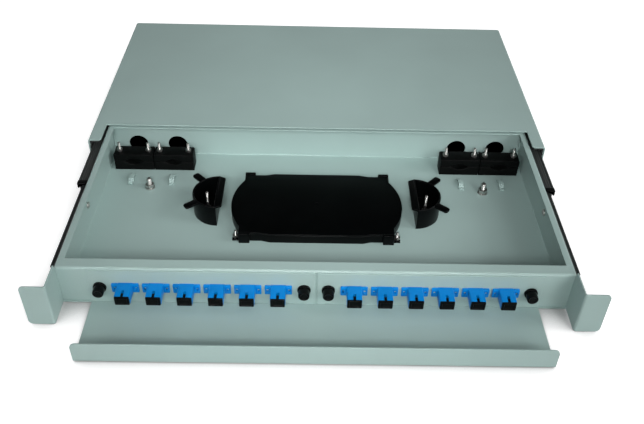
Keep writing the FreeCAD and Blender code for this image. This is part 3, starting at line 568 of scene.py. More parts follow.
class Texture(Enum):
    """What the surface of a finish is like, close to."""

    # Powder coat, softly dimpled
    ORANGE_PEEL = Pattern(specks=3.1, relief=1.0, relief_detail=3, cloud=11, cloud_detail=3)
    # Moulded plastic, finely sparked
    MOULD_GRAIN = Pattern(specks=1.7, relief=1.0, relief_detail=5, cloud=45, cloud_detail=4)
    # Drawn steel, with long streaks
    DRAWN = Pattern(specks=1.0, relief=1.0, relief_detail=3, relief_stretch=(1, 0.02, 1),
                    cloud=70, cloud_detail=4, cloud_stretch=(4, 0.12, 4))
    # Plated steel, with faint crystals in place of a cloud
    SPANGLE = Pattern(specks=2.0, relief=1.5, relief_detail=3)


@dataclass(frozen=True)
class Finish:
    """A finish: its colour and gloss, the texture of its surface, and its edges lightened as wear and
    painted highlight.
    """

    name: str
    colour: Colour
    texture: Texture
    roughness: float
    metallic: float = 0.0
    specular: float = 0.5
    mottle: float = 0.06
    grain: float = 900.0
    relief: float = 0.00004
    edge: float = 0.0005
    edge_lift: float = 1.25
    speck_share: float = 0.5
    speck_limits: tuple[float, float] = (0.55, 0.8)
    speck_lift: float = 3.0
    wear_share: float = 0.6
    wear_limits: tuple[float, float] = (0.1, 1.0)
    gloss_limits: tuple[float, float] = (0.88, 1.14)
    bump: float = 0.5

    def shade_of(self, factor: float) -> tuple[float, float, float, float]:
        """The colour, made lighter or darker, with full alpha."""
        red, green, blue = (min(1.0, part * factor) for part in self.colour)
        return red, green, blue, 1.0

    def build(self) -> bpy.types.Material:
        """Make the material: mottle and specks in colour, worn and painted-highlight edges, varied gloss and
        a relief.

        Returns:
            The material.
        """
        graph = Graph(bpy.data.materials.new(self.name))
        cloud, fine, relief = self.patterns(graph)
        soft, sharp_edges = graph.edges(self.edge)
        dark, light = self.shade_of(1 - self.mottle), self.shade_of(1 + self.mottle)
        ground = graph.blend(graph.between(cloud, 0, 1), dark, light)
        speck = graph.between(fine, 0, self.speck_share, *self.speck_limits)
        speckled = graph.blend(speck, ground, self.shade_of(1 + self.speck_lift * self.mottle))
        # Edges lightened by edge_lift: partly wear, partly a painted highlight on folds and rims.
        wear_and_highlight = graph.between(sharp_edges, 0, self.wear_share, *self.wear_limits)
        colour = graph.blend(wear_and_highlight, speckled, self.shade_of(self.edge_lift))
        gloss = graph.between(cloud, *(min(1.0, self.roughness * limit) for limit in self.gloss_limits))
        normal = graph.bump(relief, self.bump, self.relief, soft)
        return graph.shade(Base_Color=colour, Roughness=gloss, Normal=normal, Metallic=self.metallic,
                           Specular_IOR_Level=self.specular)

    def patterns(self, graph: Graph) -> tuple[Socket, Socket, Socket]:
        """Patterns of this finish's texture.

        Args:
            graph: The material's nodes.

        Returns:
            A broad cloud, fine specks and a relief, each from 0 to 1.
        """
        pattern = self.texture.value
        if self.texture is Texture.SPANGLE:
            inputs = {"Vector": graph.place, "Scale": self.grain}
            cells = graph.node("ShaderNodeTexVoronoi", inputs).outputs["Color"]
            cloud = graph.node("ShaderNodeSeparateColor", {"Color": cells}).outputs["Red"]
        else:
            cloud = graph.noise(pattern.cloud, pattern.cloud_detail, pattern.cloud_stretch)
        fine = graph.noise(self.grain * pattern.specks)
        relief = graph.noise(self.grain * pattern.relief, pattern.relief_detail, pattern.relief_stretch)
        return cloud, fine, relief


FINISHES = {
    "panel_paint": Finish(
        "panel_powder_coat", (0.343, 0.464, 0.443), Texture.ORANGE_PEEL, 0.42, specular=0.4, mottle=0.035,
        grain=820.0, relief=0.00005, edge=0.0007, edge_lift=1.3),
    "slide_steel": Finish(
        "slide_electrocoat", (0.03, 0.034, 0.033), Texture.DRAWN, 0.42, specular=0.3, mottle=0.15,
        edge=0.0004, edge_lift=4.0),
    "zinc_steel": Finish(
        "bright_zinc", (0.5, 0.5, 0.48), Texture.SPANGLE, 0.38, metallic=1.0, mottle=0.1,
        grain=1500.0, relief=0.00002, edge=0.00015, edge_lift=1.3),
    "ball_steel": Finish(
        "ball_steel", (0.8, 0.8, 0.82), Texture.SPANGLE, 0.12, metallic=1.0, mottle=0.03,
        grain=2500.0, relief=0.000004, edge=0.0001, edge_lift=1.1),
    "adapter_blue": Finish(
        "adapter_blue", (0.001, 0.2, 0.58), Texture.MOULD_GRAIN, 0.34, specular=0.16, mottle=0.07,
        grain=2300.0, relief=0.000015, edge=0.0003, edge_lift=1.35),
    "black_plastic": Finish(
        "black_moulding", (0.0004, 0.0008, 0.0009), Texture.MOULD_GRAIN, 0.34, specular=0.11, mottle=0.2,
        grain=1900.0, relief=0.00003, edge=0.0004, edge_lift=3.0),
    "black_rubber": Finish(
        "clamp_rubber", (0.0012, 0.0016, 0.0015), Texture.MOULD_GRAIN, 0.55, specular=0.1, mottle=0.2,
        grain=1300.0, relief=0.00005, edge=0.0005, edge_lift=2.0),
    "sleeve_bronze": Finish(
        "sleeve_bronze", (0.7, 0.5, 0.28), Texture.DRAWN, 0.3, metallic=1.0, mottle=0.08, edge=0.0001),
}


class Paintshop:
    """Materials by slot, each made once, and the pieces they are put on."""

    def __init__(self) -> None:
        """Make every material."""
        self.materials = {slot: finish.build() for slot, finish in FINISHES.items()}

    def coat_frame(self) -> None:
        """Put the slot's finish on every CAD node."""
        for node, piece in frame["nodes"].items():
            for slot in piece.material_slots:
                slot.material = self.materials[slot_of(node)]
            LOG.info("%s is coated as %s", node, slot_of(node))

    def piece(self, name: str, shells: Sequence[Shell], node: str, sharp: float = 35.0,
              added: bool = False) -> None:
        """Make one finished piece that stands for a CAD node or is added to it.

        Args:
            name: Name of the piece.
            shells: Its closed surfaces.
            node: The node that gives its body and slot.
            sharp: Angle in degrees from which an edge is kept crisp.
            added: Whether the node stays in sight beside it.
        """
        starts = np.cumsum([0] + [len(shell.points) for shell in shells])
        faces = [face for shell, first in zip(shells, starts) for face in shell.faces(int(first))]
        mesh = bpy.data.meshes.new(name)
        mesh.from_pydata(np.concatenate([shell.points for shell in shells]) * MM, [], faces)
        weld = bmesh.new()
        weld.from_mesh(mesh)
        bmesh.ops.remove_doubles(weld, verts=weld.verts, dist=TINY)
        weld.to_mesh(mesh)
        weld.free()
        mesh.polygons.foreach_set("use_smooth", np.ones(len(mesh.polygons), bool))
        mesh.set_sharp_from_angle(angle=math.radians(sharp))
        mesh.materials.append(self.materials[slot_of(node)])
        piece = bpy.data.objects.new(name, mesh)
        bpy.context.scene.collection.objects.link(piece)
        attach(piece, body_of(node))
        if not added:
            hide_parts(node)
        slot_of(node)
        LOG.info("%s: %d faces %s %s", name, len(mesh.polygons), "on" if added else "in place of", node)


@dataclass
class CornerSeams:
    """Filled seams where the drawer's rear wall meets its side walls, under the same paint."""

    gauge: float = 1.2
    fillet: float = 0.96
    gap: float = 0.02
    foot: float = 2.8
    top: float = 38.6
    arc_points: int = 9

    def build(self, shop: Paintshop) -> None:
        """Make the seam on both sides.

        Args:
            shop: Makes and dresses the piece.
        """
        wall = node_box("inner_slide_right").low[0] - self.gauge - self.gap
        inside = node_box("drawer_tray").high[1] - self.gauge
        seam = prism(self.section(), self.foot, self.top, (0, 0), Along.Z, (wall, inside, 0))
        shop.piece("rear_corner_seams", [seam.mirrored(side) for side in Side], "drawer_tray", added=True)

    def section(self) -> np.ndarray:
        """Section of the right seam: as deep as the sheet, with a hollow quarter circle towards the inside.

        The hollow's point at angle t is (f sin t - f, f cos t - f), with the fillet f.

        Returns:
            Counter-clockwise points about the corner of the two walls' inner faces.
        """
        turn = np.linspace(0, QUARTER_TURN, self.arc_points)
        hollow = self.fillet * np.stack([np.sin(turn) - 1, np.cos(turn) - 1], axis=-1)
        return np.concatenate([hollow, [(0, self.gauge), (-self.fillet, self.gauge)]])


@dataclass
class AdapterRow:
    """Twelve push-pull adapters with their dust caps: keyed ports, a holed flange and square caps."""

    port_wide: float = 9.7
    port_tall: float = 7.7
    body_wide: float = 12.9
    corner: float = 0.9
    fine_corner: float = 0.25
    slot_wide: float = 2.4
    slot_long: float = 7.0
    flange_thick: float = 2.0
    flange_behind_front: float = 13.6
    cutout_gap: float = 0.3
    hole_edge: float = 0.975
    ear_steps: int = 7
    edge: float = 0.35
    seam: float = 0.02
    cap_plate: float = 1.6
    cap_border: float = 1.8
    cap_dish: float = 0.4
    cap_least_corner: float = 0.09

    def build(self, shop: Paintshop) -> None:
        """Make every adapter and the three groups of caps.

        Args:
            shop: Makes and dresses the pieces.
        """
        for node in sorted(name for name in frame["nodes"] if name.removeprefix("adapter_").isdigit()):
            shop.piece(node.replace("adapter", "coupler"), self.adapter(node_box(node)), node)
        groups = {"front_dust_caps_left": Facing.FRONT, "front_dust_caps_right": Facing.FRONT,
                  "rear_dust_caps": Facing.REAR}
        for node, facing in groups.items():
            caps = [shell for box in solid_boxes(node) for shell in self.cap(box, facing)]
            shop.piece(node.replace("dust_caps", "port_plugs"), caps, node)

    def port(self, half_tall: float) -> np.ndarray:
        """Section of a keyed port: a rounded wall round a rectangle, with the key slot through its top.

        Args:
            half_tall: Half the body's height.

        Returns:
            Counter-clockwise outline that runs round the outside and back round the inside.
        """
        wide, slot, corner = self.body_wide / 2, self.slot_wide / 2, self.corner
        in_wide, in_tall, fine = self.port_wide / 2, self.port_tall / 2, self.fine_corner
        return filleted([(-slot, half_tall, fine), (-wide, half_tall, corner), (-wide, -half_tall, corner),
                         (wide, -half_tall, corner), (wide, half_tall, corner), (slot, half_tall, fine),
                         (slot, in_tall, 0), (in_wide, in_tall, fine), (in_wide, -in_tall, fine),
                         (-in_wide, -in_tall, fine), (-in_wide, in_tall, fine), (-slot, in_tall, 0)])

    def adapter(self, box: Box) -> list[Shell]:
        """One adapter: two port shells, the block between them, and a flange ear on each side.

        Args:
            box: Box of the adapter.

        Returns:
            Its surfaces.
        """
        front, rear = box.low[1], box.high[1]
        slot_front, slot_rear = front + self.slot_long, rear - self.slot_long
        section = self.port(box.half[2])
        block = rectangle(self.body_wide / 2, box.half[2], self.corner)
        shells = [prism(section, front, slot_front, (self.edge, 0), Along.Y, box.axis),
                  prism(block, slot_front + self.seam, slot_rear - self.seam, (0, 0), Along.Y, box.axis),
                  prism(section, slot_rear, rear, (0, self.edge), Along.Y, box.axis)]
        return shells + [self.ear(box, side) for side in Side]

    def ear(self, box: Box, side: Side) -> Shell:
        """Flange ear with its hole in the middle of what bears on the plate, clear of the cut-out.

        Args:
            box: Box of the adapter.
            side: Side of the adapter that it is on.

        Returns:
            The surface.
        """
        inner, outer = self.body_wide / 2 - self.edge, box.half[0]
        outline = rectangle((outer - inner) / 2, box.half[2], self.corner, self.ear_steps)
        middle = (outer + inner) / 2
        bearing = (outer - self.body_wide / 2 - self.cutout_gap) / 2
        hole = (side.value * (outer - bearing - middle), 0)
        front = box.low[1] + self.flange_behind_front
        place = box.axis + (side.value * middle, 0, 0)
        return holed_plate(outline, hole, bearing - self.hole_edge, front, front + self.flange_thick,
                           self.edge, Along.Y, place)

    def cap(self, box: Box, facing: Facing) -> list[Shell]:
        """One dust cap: a plate with a shallow dish in its face, and the plug behind it.

        Row (d, y) of the plate is a rectangle smaller by d on every side, with corners set back by d less.

        Args:
            box: Box of the cap.
            facing: End that the plate is at.

        Returns:
            Its surfaces.
        """
        inward = facing.value
        face, tail = (box.low[1], box.high[1])[::inward]
        back = face + inward * self.cap_plate
        rows = [(self.cap_border + self.cap_dish, face + inward * self.cap_dish), (self.cap_border, face)]
        rows += rim_rows(2 * self.edge, face, inward) + [(0, back)]
        distances, heights = zip(*rows)
        plate, least = box.half[[0, 2]], self.cap_least_corner
        loops = [rectangle(*(plate - d), max(self.corner - d, least)) for d in distances]
        plug = rectangle(self.port_wide / 2 - self.edge, self.port_tall / 2 - self.edge, self.corner)
        near, far = sorted((back + inward * self.seam, tail))
        return [layered(loops, heights, Along.Y, box.axis),
                prism(plug, near, far, (self.edge, self.edge), Along.Y, box.axis)]


@dataclass
class PlungerFasteners:
    """Four push-pull plungers in their grommets, which hold the adapter plates."""

    bore: float = 1.8
    barrel: float = 3.2
    collar_thick: float = 2.4
    grommet_ease: float = 0.2
    round_count: int = 40
    pin: float = 1.5
    tip: float = 1.2
    knob_long: float = 6.4
    dish: float = 0.5
    dish_floor: float = 0.62
    dish_rim: float = 0.7
    ease: float = 0.3
    edge: float = 0.7
    flutes: int = 24
    flute_points: int = 4
    flute_depth: float = 0.12
    fluted_from: float = 0.98

    def build(self, shop: Paintshop) -> None:
        """Make the grommets and the plungers.

        Args:
            shop: Makes and dresses the pieces.
        """
        boxes = solid_boxes("plunger_grommets")
        shop.piece("plate_grommets", [self.grommet(box) for box in boxes], "plunger_grommets")
        for number in range(1, len(boxes) + 1):
            node = f"plunger_{number}"
            shop.piece(f"push_pin_{number}", [self.plunger(node_box(node))], node)

    def grommet(self, box: Box) -> Shell:
        """Grommet: a rounded collar and a barrel round a bore, turned about Y.

        Args:
            box: Box of the grommet.

        Returns:
            The surface.
        """
        collar, face, end = box.half[0], box.low[1], box.high[1]
        back = face + self.collar_thick
        profile = filleted([(self.bore, face, self.grommet_ease), (collar, face, self.edge),
                            (collar, back, self.grommet_ease), (self.barrel, back, 0),
                            (self.barrel, end, self.edge), (self.bore, end, 0)])
        return lathe(profile, Along.Y, box.axis, self.round_count, closed=True)

    def plunger(self, box: Box) -> Shell:
        """Plunger: a dished, finely fluted knob, a shank and a tapered tip, turned about Y.

        The knob's radius at angle a is r - depth (1 + cos n a) / 2, with n flutes.

        Args:
            box: Box of the plunger.

        Returns:
            The surface.
        """
        knob, face, end = box.half[0], box.low[1], box.high[1]
        back, floor = face + self.knob_long, face + self.dish
        profile = filleted([(0.0, floor, 0), (knob * self.dish_floor, floor, self.ease),
                            (knob * self.dish_rim, face, self.ease), (knob, face, self.edge),
                            (knob, back, self.edge / 2), (self.pin, back, 0),
                            (self.pin, end - self.tip, self.ease), (self.pin / 2, end, 0), (0.0, end, 0)])
        radius, distance = profile.T[..., None]
        angle = angles(self.flute_points * self.flutes)
        cut = self.flute_depth * (1 + np.cos(self.flutes * angle)) / 2
        grid = turned(radius, distance, angle)
        grid[..., :2] *= np.where(radius > knob * self.fluted_from, 1 - cut / knob, 1.0)[..., None]
        return loft(Along.Y.carry(grid, box.axis))


@dataclass
class SpliceTray:
    """Splice tray with bowed ends and waisted sides, its four posts, two foot tabs and the lid."""

    end_x: float = 74.0
    end_y: float = 36.0
    bow_points: int = 17
    waist_deep: float = 45.0
    bulge_x: float = 44.0
    waist_x: float = 53.0
    wall: float = 1.6
    floor: float = 1.5
    lid_thick: float = 1.6
    lid_gap: float = 0.2
    lid_edge: float = 0.55
    lid_rim_rows: int = 5
    post_wide: float = 10.5
    post_deep: float = 3.6
    tab_deep: float = 9.0
    edge: float = 0.45
    gate_radius: float = 1.6
    gate_count: int = 24
    gate_sunk: float = 0.3
    gate_side: float = 0.05
    gate_flat: float = 0.6
    gate_shoulder: float = 0.18
    gate_tall: float = 0.2

    def build(self, shop: Paintshop) -> None:
        """Make the tray and its lid.

        Args:
            shop: Makes and dresses the pieces.
        """
        lid, tray = node_box("splice_tray_lid"), node_box("splice_tray")
        place = (0, lid.centre[1], 0)
        outline = self.outline(*lid.half[:2])
        seat = lid.high[2] - self.lid_thick
        dish = cup(outline, tray.low[2], seat - self.lid_gap / 4, self.wall, self.floor, place)
        shells = [dish] + self.posts(tray, place[1]) + self.tabs(tray.low[2], place[1])
        shop.piece("splice_dish", shells, "splice_tray")
        shop.piece("splice_cover", self.lid(lid, outline, seat, place), "splice_tray_lid")

    def outline(self, half_long: float, half_deep: float) -> np.ndarray:
        """Outline of the tray: straight sides stepped in at a waist, and circular bows at both ends.

        The bow through (end_x, end_y) and (half_long, 0) has the radius (end_y^2 + s^2) / 2s for a rise s.

        Args:
            half_long: Half the length over the bows.
            half_deep: Half the depth at the middle.

        Returns:
            Counter-clockwise points about the tray's centre.
        """
        rise = half_long - self.end_x
        radius = (self.end_y ** 2 + rise ** 2) / (2 * rise)
        turn = math.asin(self.end_y / radius) * np.linspace(-1, 1, self.bow_points)
        bow = np.stack([half_long - radius * (1 - np.cos(turn)), radius * np.sin(turn)], axis=-1)
        waist = [(self.end_x, self.waist_deep), (self.waist_x, self.waist_deep), (self.bulge_x, half_deep)]
        quarter = np.array(waist)
        right = np.concatenate([quarter[::-1] * (1, -1), bow, quarter])
        return np.concatenate([right, -right])

    def posts(self, box: Box, centre_y: float) -> list[Shell]:
        """Corner posts that the lid snaps between.

        Args:
            box: Box of the tray.
            centre_y: Y of its centre.

        Returns:
            Their surfaces.
        """
        outline = rectangle(self.post_wide / 2, self.post_deep / 2, self.edge * 2)
        x, y = self.end_x - self.post_wide / 2, self.waist_deep + self.post_deep / 2
        places = [(side_x * x, centre_y + side_y * y, 0) for side_x in (-1, 1) for side_y in (-1, 1)]
        foot, top, edges = box.low[2], box.high[2], (self.edge, self.edge)
        return [prism(outline, foot, top, edges, Along.Z, place) for place in places]

    def tabs(self, low: float, centre_y: float) -> list[Shell]:
        """Foot tabs at the front corners, each as far beyond its nut's axis as the axis is beyond the end.

        Args:
            low: Underside of the tray.
            centre_y: Y of its centre.

        Returns:
            Their surfaces.
        """
        seated = [nut for nut in solid_boxes("small_nuts") if abs(nut.low[2] - low - self.floor) < self.edge]
        axis = max(abs(nut.centre[0]) for nut in seated)
        inner, outer = self.end_x - self.wall / 2, 2 * axis - self.end_x
        outline = rectangle((outer - inner) / 2, self.tab_deep / 2, self.edge * 2)
        y = centre_y - self.waist_deep + self.tab_deep / 2
        places = [(side.value * (outer + inner) / 2, y, 0) for side in Side]
        return [prism(outline, low, low + self.floor, (0, self.edge), Along.Z, place) for place in places]

    def lid(self, box: Box, outline: np.ndarray, seat: float, place: Point) -> list[Shell]:
        """Lid: a plate with a rounded rim, the skirt under it, and the low gate mark at its centre.

        Args:
            box: Box of the lid.
            outline: Outline of the tray.
            seat: Underside of the plate.
            place: Where the outline's origin goes.

        Returns:
            Its surfaces.
        """
        foot, top, radius = box.low[2], box.high[2], self.gate_radius
        outer = self.wall + self.lid_gap
        inner = outer + self.wall
        rows = [(inner, seat), (inner, foot), (outer, foot), (outer, seat), (0, seat)]
        rows += rim_rows(self.lid_edge, top, -1, self.lid_rim_rows)[::-1]
        gate = [(0, top - self.gate_sunk), (radius, top - self.gate_sunk), (radius, top + self.gate_side),
                (radius * self.gate_flat, top + self.gate_shoulder), (0, top + self.gate_tall)]
        return [stacked(outline, rows, Along.Z, place), lathe(gate, Along.Z, place, self.gate_count)]


@dataclass
class FibreSpools:
    """Two half-round spools: a cup, a lip towards the splice tray, and two fingers outwards."""

    radius: float = 25.0
    arc_points: int = 41
    wall: float = 1.8
    floor: float = 2.0
    horn_thick: float = 2.4
    below_rim: float = 0.05
    finger_reach: float = 13.0
    finger_wide: float = 7.4
    finger_setback: float = 2.4
    finger_steps: int = 7
    finger_root: float = 0.9
    finger_angles: tuple[float, float] = (-39.0, 47.0)
    lip: float = 5.5
    lip_slant: float = 3.0
    lip_setback: float = 1.2
    lip_overlap: float = 0.4
    edge: float = 0.7

    def build(self, shop: Paintshop) -> None:
        """Make the right spool about the stud nearest to it in plan, and the left one as its mirror image.

        Args:
            shop: Makes and dresses the pieces.
        """
        box, studs = node_box("fibre_spool_right"), solid_boxes("floor_studs")
        nearest = np.argmin([np.hypot(*(stud.centre - box.centre)[:2]) for stud in studs])
        shells = self.spool(box, studs[nearest].centre[1])
        for side in Side:
            mirrored = [shell.mirrored(side) for shell in shells]
            shop.piece(f"fibre_drum_{side.word}", mirrored, f"fibre_spool_{side.word}")

    def spool(self, box: Box, centre_y: float) -> list[Shell]:
        """The right spool.

        Args:
            box: Its box; the lip reaches the lowest X.
            centre_y: Y of its centre.

        Returns:
            Its surfaces.
        """
        place = (box.low[0] + self.lip, centre_y, 0)
        rim = box.high[2]
        shelf, top = rim - self.horn_thick, rim - self.below_rim
        turn = np.linspace(-QUARTER_TURN, QUARTER_TURN, self.arc_points)
        half_disc = self.radius * np.stack([np.cos(turn), np.sin(turn)], axis=-1)
        end, slant = self.radius - self.lip_overlap, self.radius - self.lip_slant
        lip = filleted([(self.lip_overlap, end, 0), (-self.lip, slant, self.lip_setback),
                        (-self.lip, -slant, self.lip_setback), (self.lip_overlap, -end, 0)])
        horns = [lip] + [self.finger(math.radians(degrees)) for degrees in self.finger_angles]
        edges = (self.edge, self.edge)
        return [cup(half_disc, box.low[2], rim, self.wall, self.floor, place)] + [
            prism(horn, shelf, top, edges, Along.Z, place) for horn in horns]

    def finger(self, turn: float) -> np.ndarray:
        """Outline of a finger: a bar with rounded corners at its tip, turned about the spool's centre.

        Args:
            turn: Angle of the finger from X, in radians.

        Returns:
            Counter-clockwise points about the spool's centre.
        """
        root, tip = self.radius - self.wall * self.finger_root, self.radius + self.finger_reach
        half, setback = self.finger_wide / 2, self.finger_setback
        corners = [(root, -half, 0), (tip, -half, setback), (tip, half, setback), (root, half, 0)]
        spin = np.array([(math.cos(turn), math.sin(turn)), (-math.sin(turn), math.cos(turn))])
        return filleted(corners, self.finger_steps) @ spin


@dataclass
class CableClamps:
    """Four cable clamps, each two blocks that close on a lens-shaped hole."""

    lens_wide: float = 18.4
    lens_tall: float = 7.2
    lens_points: int = 15
    split: float = 0.4
    crown: float = 1.5
    foot_ease: float = 0.3
    edge: float = 0.7

    def build(self, shop: Paintshop) -> None:
        """Make the lower and the upper halves on both sides.

        Args:
            shop: Makes and dresses the pieces.
        """
        for side in Side:
            for half in Half:
                node = f"cable_clamp_{half.word}_{side.word}"
                shells = [self.block(box, half) for box in solid_boxes(node)]
                shop.piece(f"clamp_blocks_{half.word}_{side.word}", shells, node)

    def block(self, box: Box, half: Half) -> Shell:
        """One half: a block whose inner face is hollowed by the lens.

        The lens is a circle through its two tips and its crown: radius (w^2 + h^2) / 2h for half width w and
        height h, and only the part inside the half is kept.

        Args:
            box: Box of the block.
            half: Which half it is; a lower one is turned over.

        Returns:
            The surface.
        """
        wide, _, tall = box.half
        rise, reach = self.lens_tall / 2, self.lens_wide / 2
        radius = (reach ** 2 + rise ** 2) / (2 * rise)
        below = radius - rise + self.split / 2
        turn = math.acos(below / radius) * np.linspace(-1, 1, self.lens_points)
        hollow = np.stack([radius * np.sin(turn), radius * np.cos(turn) - below - tall], axis=-1)
        back = self.crown if half is Half.UPPERS else self.foot_ease
        top = filleted([(wide, -tall, 0), (wide, tall, back), (-wide, tall, back), (-wide, -tall, 0)])
        outline = np.concatenate([[(-wide, -tall)], hollow, top[:-1]])
        if half is Half.LOWERS:
            outline = (outline * (1, -1))[::-1]
        return prism(outline, box.low[1], box.high[1], (self.edge, self.edge), Along.Y, box.axis)


@dataclass
class Fasteners:
    """Threaded studs, hexagon nuts and washers, and the pan-head screws in the drawer's walls."""

    pitch_share: float = 0.33
    depth_share: float = 0.45
    thread_long: float = 12.0
    rows_per_pitch: int = 4
    stud_count: int = 20
    tip_taper: float = 0.18
    nut_count: int = 48
    nut_chamfer: float = 30.0
    nut_face: float = 0.96
    nut_ease: float = 0.3
    washer_count: int = 40
    washer_thick: float = 1.0
    washer_eases: tuple[float, float] = (0.2, 0.3)
    washer_gap: float = 0.01
    earth_flats: float = 8.0
    head_count: int = 64
    head_tall: float = 1.8
    head_crown: float = 0.7
    head_rim: float = 0.1
    dome_share: float = 0.94
    dome_rows: int = 22
    recess_wide: float = 0.55
    recess_long: float = 2.0
    recess_deep: float = 0.9
    recess_side: float = 0.2
    recess_end: float = 0.3
    screw_shank: float = 1.5
    screw_sharp: float = 50.0

    def build(self, shop: Paintshop) -> None:
        """Make the studs, the nuts, the earth points and the wall screws.

        Args:
            shop: Makes and dresses the pieces.
        """
        bores: dict[str, float] = {}
        for node, name in (("floor_studs", "threaded_studs"), ("earth_studs", "threaded_earth_studs")):
            boxes = solid_boxes(node)
            bores[node] = boxes[0].half[0]
            shop.piece(name, [self.stud(box) for box in boxes], node)
        nuts = [self.nut(box.foot, box.size[0], box.size[2], bores["floor_studs"])
                for box in solid_boxes("small_nuts")]
        shop.piece("hex_nuts", nuts, "small_nuts")
        points = self.joined(solid_boxes("earth_nuts"))
        earth = [shell for box in points for shell in self.earth(box, bores["earth_studs"])]
        shop.piece("earth_hex_nuts", earth, "earth_nuts")
        screws = [self.screw(box) for box in solid_boxes("inner_slide_screws")]
        shop.piece("wall_screws", screws, "inner_slide_screws", self.screw_sharp)

    def joined(self, boxes: Sequence[Box]) -> list[Box]:
        """Boxes joined where they stand on the same axis, as a washer and its nut do.

        Args:
            boxes: Boxes of single solids.

        Returns:
            One box for each axis.
        """
        low, high = np.array([box.low for box in boxes]), np.array([box.high for box in boxes])
        axes = np.round([box.centre[:2] for box in boxes], 1)
        same = [np.all(axes == axis, axis=1) for axis in np.unique(axes, axis=0)]
        return [Box(low[one].min(axis=0), high[one].max(axis=0)) for one in same]

    def stud(self, box: Box) -> Shell:
        """Stud with a helical thread on its upper length.

        Radius at angle a and height z is R - depth |2 f - 1|, with f the fraction of z / pitch - a / turn.
        The pitch is a share of R and the depth a share of the pitch; the depth fades in below the thread,
        and the top tapers over the last pitch.

        Args:
            box: Box of the stud.

        Returns:
            The surface.
        """
        radius, foot, top = box.half[0], box.low[2], box.high[2]
        pitch = radius * self.pitch_share
        start = max(foot, top - self.thread_long)
        rows = int((top - start) / pitch * self.rows_per_pitch) + 1
        height = np.concatenate([[foot], np.linspace(start, top, rows)])[:, None]
        angle = angles(self.stud_count)
        wave = np.abs(2 * np.mod(height / pitch - angle / FULL_TURN, 1) - 1)
        fade = np.clip((height - start) / pitch, 0, 1)
        taper = np.clip((height - top + pitch) / pitch, 0, 1)
        reach = (radius - pitch * self.depth_share * wave * fade) * (1 - self.tip_taper * taper)
        return loft(turned(reach, height, angle) + box.foot * (1, 1, 0))

    def nut(self, foot: np.ndarray, flats: float, thick: float, bore: float) -> Shell:
        """Hexagon nut with chamfered corners and two flats facing along X.

        The side's radius at angle a is half the flats over cos(a), with a folded into 30 degrees either side
        of a flat; its corners drop by the chamfer angle's tangent times what stands beyond the end face.

        Args:
            foot: Middle of its underside.
            flats: Width across flats.
            thick: Height.
            bore: Radius of the hole.

        Returns:
            The surface.
        """
        angle, sixth, ease = angles(self.nut_count), FULL_TURN / 6, self.nut_ease
        fold = np.mod(angle + sixth / 2, sixth) - sixth / 2
        hexagon = flats / 2 / np.cos(fold)
        face = np.full_like(angle, flats / 2 * self.nut_face)
        drop = (hexagon - face) * math.tan(math.radians(self.nut_chamfer))
        hole, level = np.full_like(angle, bore), np.zeros_like(angle)
        radius = np.stack([hole, hole + ease, face, hexagon, hexagon, face, hole + ease, hole])
        top = level + thick
        height = np.stack([level + ease, level, level, level + drop, thick - drop, top, top, top - ease])
        return loft(turned(radius, height, angle) + foot, closed=True)

    def earth(self, box: Box, bore: float) -> list[Shell]:
        """Earth point: a washer with eased edges and the nut on it.

        Args:
            box: Box of the two.
            bore: Radius of their holes.

        Returns:
            Their surfaces.
        """
        washer, thick = box.half[0], self.washer_thick
        lower, upper = self.washer_eases
        profile = filleted([(bore, 0, 0), (washer, 0, lower), (washer, thick, upper), (bore, thick, 0)])
        seat = box.foot + (0, 0, thick + self.washer_gap)
        return [lathe(profile, Along.Z, box.foot, self.washer_count, closed=True),
                self.nut(seat, self.earth_flats, box.high[2] - seat[2], bore)]

    def screw(self, box: Box) -> Shell:
        """Wall screw about X: a crowned head with a cross recess, and its shank.

        The head's height at (y, z) is a crown c (1 - r^2 / R^2) above its rim, less the recess where the
        smaller of |y|, |z| is inside the slot's half width and the larger inside its length, both softly.

        Args:
            box: Box of the screw.

        Returns:
            The surface.
        """
        outward = 1 if box.centre[0] > 0 else -1
        face, end = (box.low[0], box.high[0])[::outward]
        head, shank = box.half[2], self.screw_shank
        angle = angles(self.head_count)
        reach = np.linspace(0, head * self.dome_share, self.dome_rows)[:, None]
        crown = self.head_crown * (1 - (reach / head) ** 2)
        dome = turned(reach, 0.0, angle)
        off_axes = np.abs(dome[..., :2])
        inside = np.clip((self.recess_wide - off_axes.min(axis=-1)) / self.recess_side, 0, 1)
        slot = inside * np.clip((self.recess_long - off_axes.max(axis=-1)) / self.recess_end, 0, 1)
        dome[..., 2] = face + outward * (self.head_crown - crown + self.recess_deep * slot)
        rim, seat = face + outward * (self.head_crown + self.head_rim), face + outward * self.head_tall
        radius, place = np.array([(head, rim), (head, seat), (shank, seat), (shank, end)]).T[..., None]
        grid = np.concatenate([dome, turned(radius, place, angle)])
        return loft(Along.X.carry(grid, (0, *box.centre[1:])))


